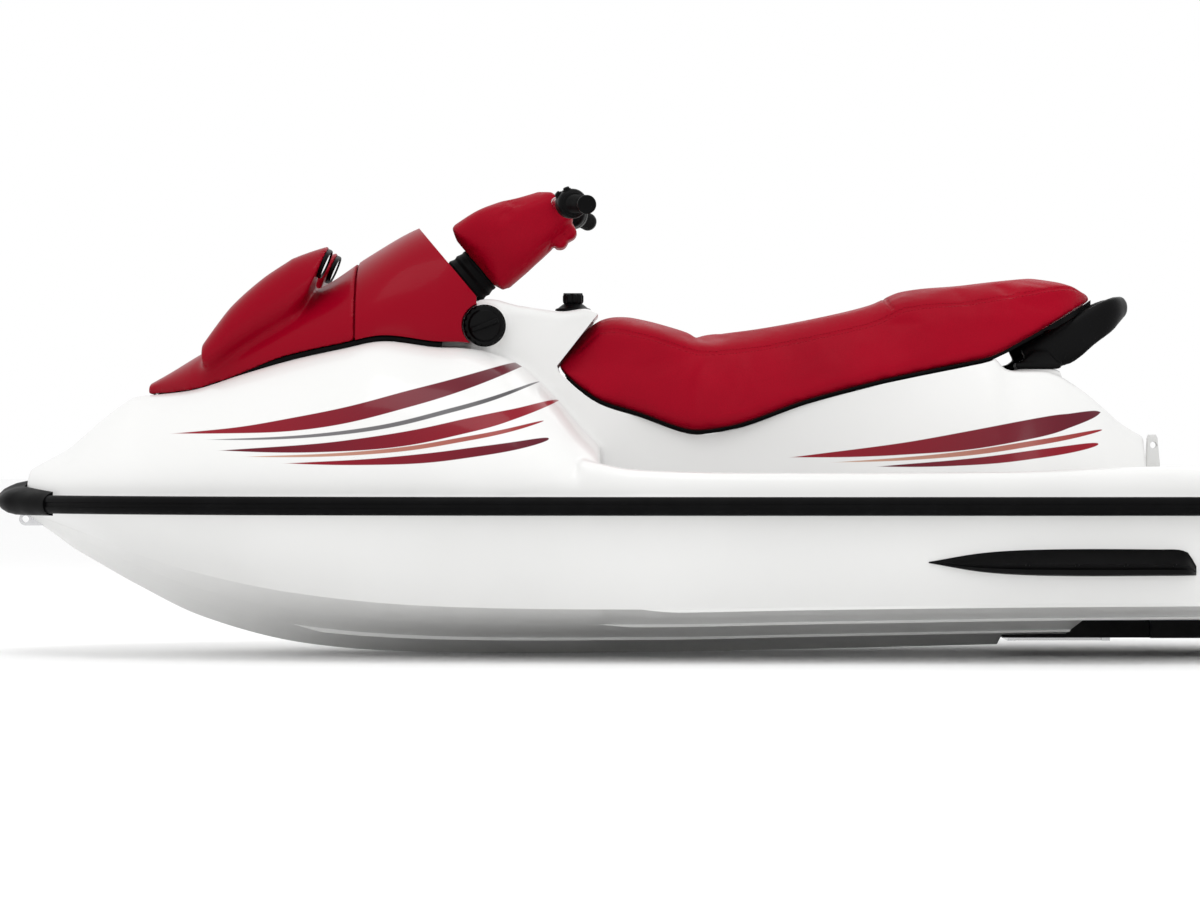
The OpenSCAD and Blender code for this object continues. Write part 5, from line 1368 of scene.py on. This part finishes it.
        for side in (1, -1):
            spot = (Matrix.Translation((at(POD[-1][0]), side * POD_OUT, k.deck_z(h - d / 2) + KEEL))
                    @ Matrix.Rotation(math.pi / 2 - POD_TILT, 4, "Y")
                    @ Matrix.Translation((0.038 - k.z.deck_height * d * POD_TALL, 0, 0)))
            frames.append(loft("bezel", [oval(spot, *row) for row in BEZEL]))
            glass.append(loft("mirror", [oval(spot, *row) for row in PANE]))
        bezel = join("mirror_bezels", frames)
        shade(bezel, 40)
        set_piece(bezel, "black_plastic", "hood", "black_plastic", "mirror_frames")
        glass = join("mirror_panes", glass)
        shade(glass, 40)
        set_piece(glass, "mirror_silver", "hood", "mirror_glass", "mirror_glass")

    def execute(self, context):
        k = Lines(sizes())
        for step in (self.hood, self.console, self.gasket, self.mirrors):
            step(k)
        return {"FINISHED"}


def swell(obj, pinned, cap):
    """Inflates a closed skin like stuffed fabric, holding some points and capping how far others move."""
    rest = [v.co.copy() for v in obj.data.vertices]
    group = obj.vertex_groups.new(name="held")
    held = [i for i, p in enumerate(rest) if pinned(p)]
    group.add(held, 1.0, "REPLACE")
    mod = obj.modifiers.new("stuffing", "CLOTH")
    s = mod.settings
    s.quality = 5
    s.mass = 0.25
    s.tension_stiffness = s.compression_stiffness = 18
    s.shear_stiffness = 12
    s.bending_stiffness = 0.6
    s.use_pressure = True
    s.uniform_pressure_force = 4.0
    s.vertex_group_mass = "held"
    s.effector_weights.gravity = 0.0
    mod.collision_settings.use_collision = False
    mod.collision_settings.use_self_collision = False
    mod.point_cache.frame_start, mod.point_cache.frame_end = 1, SWELL_FRAMES
    scene = bpy.context.scene
    for f in range(1, SWELL_FRAMES + 1):
        scene.frame_set(f)
    bake(obj)
    scene.frame_set(1)
    for v, p in zip(obj.data.vertices, rest):
        d = v.co - p
        if d.length > cap:
            v.co = p + d.normalized() * cap
    obj.vertex_groups.clear()
    return obj


def groove(obj, lines, deep, wide):
    """Presses sewn lines into a padded skin."""
    tree = KDTree(sum(len(q) for q in lines))
    for n, q in enumerate(p for line in lines for p in line):
        tree.insert(q, n)
    tree.balance()
    moves = []
    for v in obj.data.vertices:
        far = tree.find(v.co)[2]
        if far < 3 * wide:
            moves.append((v, v.normal * (-deep * math.exp(-((far / wide) ** 2)))))
    for v, d in moves:
        v.co += d


def settle(obj, points):
    """Drops points onto the nearest place of a skin; returns each place and its outward direction."""
    out = []
    for q in points:
        _, place, normal, _ = obj.closest_point_on_mesh(q)
        out.append((place.copy(), normal.copy()))
    return out


def sewn(places, step, lift, lean=0.0):
    """Evenly spaced stitch spots along a settled line, each with its run as aim."""
    spots, carry = [], 0.0
    for (a, na), (b, _) in zip(places, places[1:]):
        run = b - a
        size = run.length
        if size < 1e-6:
            continue
        run = run / size
        while carry < size:
            side = run.cross(na)
            spots.append((a + run * carry + na * lift + side * lean, run))
            carry += step
        carry -= size
    return spots


class SEAT_OT_craft(bpy.types.Operator):
    """Saddle seat in stuffed vinyl with sewn seams and a dark edge band, whose tail hangs down as a black flap
    of painted shade over the grab handle
    """

    bl_idname = "craft.seat"
    bl_label = "Seat"

    def execute(self, context):
        k = Lines(sizes())
        inset = 0.004

        def section(s):
            u = clamp((s - 0.5705) / (SEAT_NOSE + 0.0004 - 0.5705))
            f = max(0.25, math.sqrt(1 - u * u))
            pts = k.seat_half(s, inset)
            mid = (pts[0][1] + pts[-1][1]) / 2
            return [(y * mix(0.9, 1, f), mid + (z - mid) * mix(0.45, 1, f)) for y, z in pts]

        def shoulder(u, s):
            return u * k.half * curve(SEAT, 4, s) * 0.97

        seat = skin("seat_skin", section, even(SEAT_TAIL, 0.56, 110)[:-1] + even(0.56, SEAT_NOSE, 20))
        fair(seat, 0.0075, 6)
        swell(seat, lambda p: p.z - KEEL < k.seat_bottom(p.x / CRAFT_LENGTH + 0.5) + 0.03, k.z.pad_swell)
        mod = seat.modifiers.new("ease", "SMOOTH")
        mod.factor, mod.iterations = 0.5, 4
        bake(seat)
        mod = seat.modifiers.new("fine", "SUBSURF")
        mod.levels = mod.render_levels = 1
        bake(seat)
        lines = []
        for side in (1, -1):
            lines.append([Vector((at(s), shoulder(side, s), mix(k.seat_bottom(s), k.seat_top(s), 0.84) + KEEL))
                          for s in even(0.186, 0.562, 260)])
        top = k.seat_top(SEAT_SEAM) + 0.01
        lines.append([Vector((at(SEAT_SEAM), y, top - 0.2 * y * y + KEEL))
                      for y in (shoulder(u, SEAT_SEAM) for u in even(-1, 1, 90))])
        laid = [settle(seat, line) for line in lines]
        groove(seat, [[q for q, _ in line] for line in laid], 0.0026, 0.0042)
        shade(seat, 60)
        set_piece(seat, "red_vinyl", "seat", "red_vinyl", "seat_cushion")
        spots = []
        for line in laid:
            line = settle(seat, [q for q, _ in line])
            for lean in (-0.0055, 0.0055):
                spots += sewn(line, 0.0062, 0.0002, lean)
        spots = [(settle(seat, [q])[0][0], aim) for q, aim in spots]
        thread = repeat("seat_stitches", "stitch", spots, 0.0021, 0.00055, "red_thread")
        set_piece(thread, "red_thread", "seat", "red_vinyl")
        rings = []
        for s in even(SEAT_TAIL + 0.001, 0.5715, 120):
            y, b = k.half * curve(SEAT, 3, s) + 0.0012, k.seat_bottom(s) + 0.0042
            # Painted shade: at the tail the band hangs lower as a black flap, filling the slit over the grab
            # handle where there is only shadow.
            shade_flap_drop = 0.001 + 0.007 * clamp((0.214 - s) / 0.006)
            pts = [(y - 0.006, b - shade_flap_drop), (y, b - shade_flap_drop), (y + 0.0012, b + 0.0006), (y + 0.0010, b + 0.0034),
                   (y - 0.0015, b + 0.0044), (y - 0.006, b + 0.0044)]
            rings.append((s, pts))
        bands = [loft("band", [ring(s, flip(side, pts)) for s, pts in rings]) for side in (1, -1)]
        band = join("seat_edge_band_and_shade_flap", bands)
        shade(band, 50)
        set_piece(band, "black_rubber", "seat", "black_rubber")
        return {"FINISHED"}


class BARS_OT_craft(bpy.types.Operator):
    """Handlebar pad and the column boot"""

    bl_idname = "craft.bars"
    bl_label = "Handlebar"

    def execute(self, context):
        k = Lines(sizes())
        col = k.column()
        inset = 0.003
        rings = []
        for u in even(0.0, 1.0, 24):
            hi, lo, w = (curve(PAD, c, u) * PAD_LONG for c in (1, 2, 3))
            hi, lo, w = hi - inset, lo + inset, w - inset
            h = PAD_START + inset + (PAD_LONG * 0.98 - 2 * inset) * u
            pts = []
            for a in circle(40):
                ca, sa = math.cos(a), math.sin(a)
                x = mix(lo, hi, 0.5 + 0.5 * math.copysign(abs(ca) ** 0.42, ca))
                pts.append(col @ Vector((x, w * math.copysign(abs(sa) ** 0.5, sa), h)))
            rings.append(pts)
        folds = []
        for x, h, r, wide in ((-0.060, 0.2265, 0.0150, 0.052), (-0.064, 0.2000, 0.0135, 0.060)):
            roll = col @ Matrix.Translation((x, 0, h)) @ Matrix.Rotation(math.pi / 2, 4, "X")
            end = [(r * math.sin(a), wide - 0.012 * (1 - math.cos(a))) for a in even(math.pi / 2, 0.3, 5)]
            start = [(r * math.sin(a), -wide + 0.012 * (1 - math.cos(a))) for a in even(0.3, math.pi / 2, 5)]
            prof = [(0, -wide), *start, *end, (0, wide)]
            folds.append(turned("fold", prof, roll, 24))
        pad = join("bar_pad_skin", [loft("pad", rings), *folds])
        fair(pad, 0.005, 8)
        swell(pad, lambda p: False, 0.006)
        carve(pad, rod("stem_hole", 0.0166, -0.1, 0.24, col, 32))
        bar = col @ Matrix.Translation((0, 0, BAR_Z)) @ Matrix.Rotation(math.pi / 2, 4, "X")
        carve(pad, rod("bar_hole", 0.0118, -0.3, 0.3, bar, 32))
        shade(pad, 40)
        set_piece(pad, "red_vinyl", "handlebar", "red_vinyl", "bar_pad")
        base = col @ Matrix.Translation((0, 0, 0.0003 - 0.016))
        boot = turned("column_bellows", BELLOWS, base, 72)
        bevel(boot, 0.0018, 3, 20)
        shade(boot, 50)
        set_piece(boot, "black_rubber", "craft", "black_rubber", "column_boot")
        return {"FINISHED"}


class FITTINGS_OT_craft(bpy.types.Operator):
    """Grab handle, side fins and traction mats"""

    bl_idname = "craft.fittings"
    bl_label = "Fittings"

    def grab(self, k):
        """Grab handle: two arms on feet, joined by a bar."""
        arms = []
        table = [(i, *row) for i, row in enumerate(GRAB)]
        lo, hi = at(HANDLE_AFT), at(HANDLE_FORE)
        foot_z = k.deck_z(HANDLE_LEVEL) + 0.0033 + KEEL
        for side in (1, -1):
            rings = []
            for u in even(0, 4, 36):
                s, h, y, d = (curve(table, c, u) for c in (1, 2, 3, 4))
                p = Vector((at(s), side * k.half * y, k.deck_z(h - d / 2) + KEEL))
                q = [Vector((at(curve(table, 1, v)), side * k.half * curve(table, 3, v),
                             k.deck_z(curve(table, 2, v)))) for v in (max(0, u - 0.05), min(4, u + 0.05))]
                run = (q[1] - q[0]).normalized()
                up = (Vector((0, 0, 1)) - run * run.z).normalized()
                out = run.cross(up)
                tall = LOOP_TALL + k.z.deck_height * d / 2
                rings.append([p + up * tall * math.cos(a) + out * LOOP_WIDE * math.sin(a) for a in circle(28)])
            arms.append(loft("arm", rings))
            ys = sorted((side * 0.1085, side * 0.1765))
            arms.append(slab("foot", (lo, ys[0], foot_z), (hi, ys[1], foot_z + 0.012)))
            foot = []
            for u, grow in ((0, 1.0), (0.5, 0.85), (1, 0.6)):
                x0, x1 = mix(lo, at(0.212), u), mix(hi, at(0.222), u)
                yc, hw = side * mix(0.1425, k.half * 0.248, u), 0.033 * grow
                zz = foot_z + 0.006 + u * 0.03
                foot.append([(x0, yc - hw, zz), (x1, yc - hw, zz), (x1, yc + hw, zz), (x0, yc + hw, zz)])
            arms.append(loft("root", foot))
        s, h, y, d = GRAB[-1]
        rings = []
        for yy in even(-k.half * y, k.half * y, 12):
            p = Vector((at(s), yy, k.deck_z(h - d / 2) + KEEL))
            tall = LOOP_TALL + k.z.deck_height * d / 2
            rings.append([p + Vector((LOOP_WIDE * math.sin(a), 0, tall * math.cos(a))) for a in circle(28)])
        arms.append(loft("bar", rings))
        grab = join("grab_loop", arms)
        fair(grab, 0.004, 5)
        shade(grab, 60)
        set_piece(grab, "black_plastic", "craft", "black_plastic", "grab_handle")

    def fins(self, k):
        """Side fins with their bolt heads."""
        for side, node in ((1, "sponson_port"), (-1, "sponson_starboard")):
            rings = []
            for s in even(SPONSON[0][0], SPONSON[-1][0], 60):
                w, h = FIN_REACH * curve(SPONSON, 1, s), FIN_HALF * curve(SPONSON, 2, s)
                mid = FIN_Z - max(0.0, FIN_HALF - h) if s < SPONSON[2][0] else FIN_Z
                w, h = max(w, 0.0015), max(h, 0.0012)
                foot, waist, top = (k.side(s, level) for level in (mid - h, mid, mid + h))
                pts = [(foot + 0.0003, mid - h), (foot + w * 0.85, mid - h), (foot + w, mid - h * 0.9),
                       (foot + w, mid - h * 0.55), (foot + w * 0.9, mid - h * 0.45),
                       (waist + w * 0.82, mid - h * 0.15), (waist + w * 0.6, mid + h * 0.2),
                       (waist + w * 0.3, mid + h * 0.65), (top + 0.001, mid + h), (waist + 0.0006, mid)]
                rings.append(ring(s, flip(side, pts)))
            fin = loft("side_fin_" + node[8:], rings)
            spots = []
            for s in (0.135, 0.17, 0.205, 0.24):
                place = Vector((at(s), side * (k.side(s, FIN_Z) + 0.0335 * curve(SPONSON, 1, s)), 0.190 + KEEL))
                spots += settle(fin, [place])
            studs = repeat("studs", "stud", spots, 0.0026, 0.0042, "black_plastic")
            fin = join("side_fin_" + node[8:], [fin, studs])
            shade(fin, 40)
            set_piece(fin, "black_plastic", "craft", "black_plastic", node)

    def execute(self, context):
        k = Lines(sizes())
        self.grab(k)
        self.fins(k)
        for name, node in (("footwell_tread", "footwell_mats"), ("platform_tread", "platform_mat")):
            mat = add_object(name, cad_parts[node].data.copy())
            outward(mat)
            bevel(mat, 0.0025, 3, 30)
            shade(mat, 40)
            set_piece(mat, "traction_mat", "craft", "black_rubber", node)
        return {"FINISHED"}


class GRIPS_OT_craft(bpy.types.Operator):
    """Ribbed grips, switch housing and throttle lever on the handlebar ends"""

    bl_idname = "craft.grips"
    bl_label = "Grips and controls"

    def execute(self, context):
        k = Lines(sizes())
        col = k.column()
        sleeves, spots = [], []
        root = Vector((0, 0.09, BAR_Z))
        tip = Vector((-0.02 - 0.066 * 0.5, 0.37, BAR_Z + 0.066 * 0.55))
        for side in (1, -1):
            a, b = (Vector((p.x, side * p.y, p.z)) for p in (root, tip))
            w = (b - a).normalized()
            size = (b - a).length
            u = Vector((0, 0, 1)).cross(w).normalized()
            v = w.cross(u)
            leg = col @ Matrix(((u.x, v.x, w.x, a.x), (u.y, v.y, w.y, a.y), (u.z, v.z, w.z, a.z), (0, 0, 0, 1)))
            sleeves.append(turned("sleeve", [(r, size + h) for r, h in SLEEVE], leg, 48))
            aim = leg.to_3x3() @ Vector((0, 0, 1))
            spots += [(leg @ Vector((0, 0, size - 0.1155 + 0.0047 * i)), aim) for i in range(22)]
            t0, t1 = size - GRIP_LONG - 0.0475, size - GRIP_LONG - 0.0015
            case = [turned("case", [(0.0118, t0), (0.0235, t0), (0.0275, t0 + 0.003), (0.0298, t0 + 0.009),
                                    (0.0298, t0 + 0.020), (0.0285, t0 + 0.0215), (0.0285, t0 + 0.0235),
                                    (0.0298, t0 + 0.025), (0.0298, t1 - 0.009), (0.0275, t1 - 0.003),
                                    (0.0235, t1), (0.0118, t1)], leg, 56)]
            if side > 0:
                for y, h, r in ((0.006, 0.013, 0.0065), (-0.008, 0.033, 0.0065)):
                    push = (leg @ Matrix.Translation((0, 0, t0 + h)) @ Matrix.Rotation(y * 40, 4, "Z")
                            @ Matrix.Rotation(-math.pi / 2, 4, "Y"))
                    case.append(turned("push", [(0, 0.02), (r + 0.002, 0.02), (r + 0.002, 0.0305), (r, 0.0312),
                                                (r, 0.034), (r * 0.7, 0.0352), (0, 0.0354)], push, 28))
                case = join("switch_case", case)
                shade(case, 35)
                set_piece(case, "black_plastic", "handlebar", "black_plastic", "switch_housing")
            else:
                blade = []
                for i, (y, h, wide, thick) in enumerate(BLADE):
                    d = tangent(BLADE, i)
                    blade.append([leg @ Vector((wide * math.cos(t), y - d.y * thick * math.sin(t),
                                                t0 + h + d.x * thick * math.sin(t))) for t in circle(16)])
                case = join("throttle", [*case, loft("blade", blade)])
                shade(case, 35)
                set_piece(case, "black_plastic", "handlebar", "black_plastic", "throttle_lever")
        ribs = repeat("grip_ribs", "rib", spots, 0.0169, 0.0016, "black_rubber")
        grips = join("ribbed_grips", [*sleeves, ribs])
        shade(grips, 40)
        set_piece(grips, "black_rubber", "handlebar", "black_rubber", "grips")
        return {"FINISHED"}


class DIALS_OT_craft(bpy.types.Operator):
    """Gauge panel, selector knob, fuel cap and tow post"""

    bl_idname = "craft.dials"
    bl_label = "Gauges, knob, cap and post"

    def gauges(self, k):
        """Panel with two dials, their marks and four lamps."""
        col = k.column()
        plate = slab("plate", (GAUGE_X - 0.031, -0.095, GAUGE_Z), (GAUGE_X + 0.031, 0.095, -0.0077), col)
        bevel(plate, 0.006, 4, 60)
        bits, ticks, faces = [plate], [], []
        for side in (1, -1):
            spot = col @ Matrix.Translation((GAUGE_X, side * GAUGE_Y, GAUGE_Z))
            bits.append(turned("rim", DIAL_RIM, spot, 64))
            faces.append(turned("face", DIAL_FACE, spot, 56))
            for i in range(21):
                a = math.radians(-45 + 270 * i / 20)
                ray = Vector((-math.sin(a), math.cos(a), 0))
                ticks.append((spot @ (ray * 0.0188 + Vector((0, 0, 0.0095))), spot.to_3x3() @ ray))
            for i in range(14):
                ray = Vector((-math.sin(0.4), math.cos(0.4), 0))
                ticks.append((spot @ (ray * (0.003 + 0.001 * i) + Vector((0, 0, 0.0112))), spot.to_3x3() @ ray))
        for y in (-0.016, -0.0055, 0.0055, 0.016):
            lamp = col @ Matrix.Translation((0.105, y * 0.5, GAUGE_Z))
            bits.append(turned("lamp", DIAL_LAMP, lamp, 20))
        panel = join("gauge_cluster", bits)
        shade(panel, 35)
        set_piece(panel, "black_plastic", "craft", "black_plastic", "gauge_panel")
        face = join("gauge_faces", faces)
        shade(face, 35)
        set_piece(face, "dial_black", "craft", "black_plastic")
        marks = repeat("gauge_marks", "stitch", ticks, 0.0017, 0.0004, "dial_white")
        set_piece(marks, "dial_white", "craft", "black_plastic")

    def knob(self, k):
        """Selector knob on its base."""
        spot = k.knob_frame(0.0033)
        base = turned("base", KNOB_BASE, spot, 64)
        head = fluted("head", KNOB, spot, 9, 90, 0.0026, 1.5)
        ridge = slab("ridge", (-0.0195, -0.0035, 0.0335), (0.0195, 0.0035, 0.0375), spot)
        bevel(ridge, 0.0012, 2, 40)
        knob = join("selector", [base, head, ridge])
        shade(knob, 40)
        set_piece(knob, "black_plastic", "craft", "black_plastic", "selector_knob")

    def cap(self, k):
        """Fuel cap with a cross grip."""
        spot = k.cap_frame(NECK_LONG + 0.0003)
        body = fluted("cap", CAP, spot, 18, 144, 0.0032, 2)
        turn = spot @ Matrix.Rotation(0.35, 4, "Z")
        grip = slab("grip", (-0.029, -0.0055, 0.018), (0.029, 0.0055, 0.0292), turn)
        cap = join("fuel_cap_fluted", [body, bevel(grip, 0.003, 3, 40)])
        shade(cap, 40)
        set_piece(cap, "black_plastic", "craft", "black_plastic", "fuel_cap")

    def post(self, k):
        """Tow post with its edges rounded."""
        post = add_object("tow_post_skin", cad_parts["tow_post"].data.copy())
        outward(post)
        mod = post.modifiers.new("flat", "DECIMATE")
        mod.decimate_type, mod.angle_limit = "DISSOLVE", math.radians(2)
        bake(post)
        bevel(post, 0.0022, 3, 50)
        shade(post, 40)
        set_piece(post, "white_gelcoat", "craft", "white_gelcoat", "tow_post")

    def execute(self, context):
        k = Lines(sizes())
        for step in (self.gauges, self.knob, self.cap, self.post):
            step(k)
        return {"FINISHED"}


STEPS = (STAGE_OT_craft, FINISH_OT_craft, HULL_OT_craft, DECK_OT_craft, RAIL_OT_craft, COWL_OT_craft,
         SEAT_OT_craft, BARS_OT_craft, FITTINGS_OT_craft, GRIPS_OT_craft, DIALS_OT_craft)


class VIEW3D_PT_craft(bpy.types.Panel):
    """Lists the steps that dress the craft"""

    bl_label = "Watercraft"
    bl_space_type = "VIEW_3D"
    bl_region_type = "UI"
    bl_category = "Watercraft"

    def draw(self, context):
        for prop in CraftSizes.__annotations__:
            self.layout.prop(context.scene.craft_sizes, prop)
        for prop in CraftColours.__annotations__:
            self.layout.prop(context.scene.craft_colours, prop)
        for step in STEPS:
            self.layout.operator(step.bl_idname)


CLASSES = (CraftSizes, CraftColours, *STEPS, VIEW3D_PT_craft)


def register():
    for cls in CLASSES:
        bpy.utils.register_class(cls)
    bpy.types.Scene.craft_sizes = PointerProperty(type=CraftSizes)
    bpy.types.Scene.craft_colours = PointerProperty(type=CraftColours)


def unregister():
    del bpy.types.Scene.craft_colours
    del bpy.types.Scene.craft_sizes
    for cls in reversed(CLASSES):
        bpy.utils.unregister_class(cls)


def main():
    register()
    for step in STEPS:
        area, name = step.bl_idname.split(".")
        getattr(getattr(bpy.ops, area), name)()


if __name__ == "__main__":
    main()
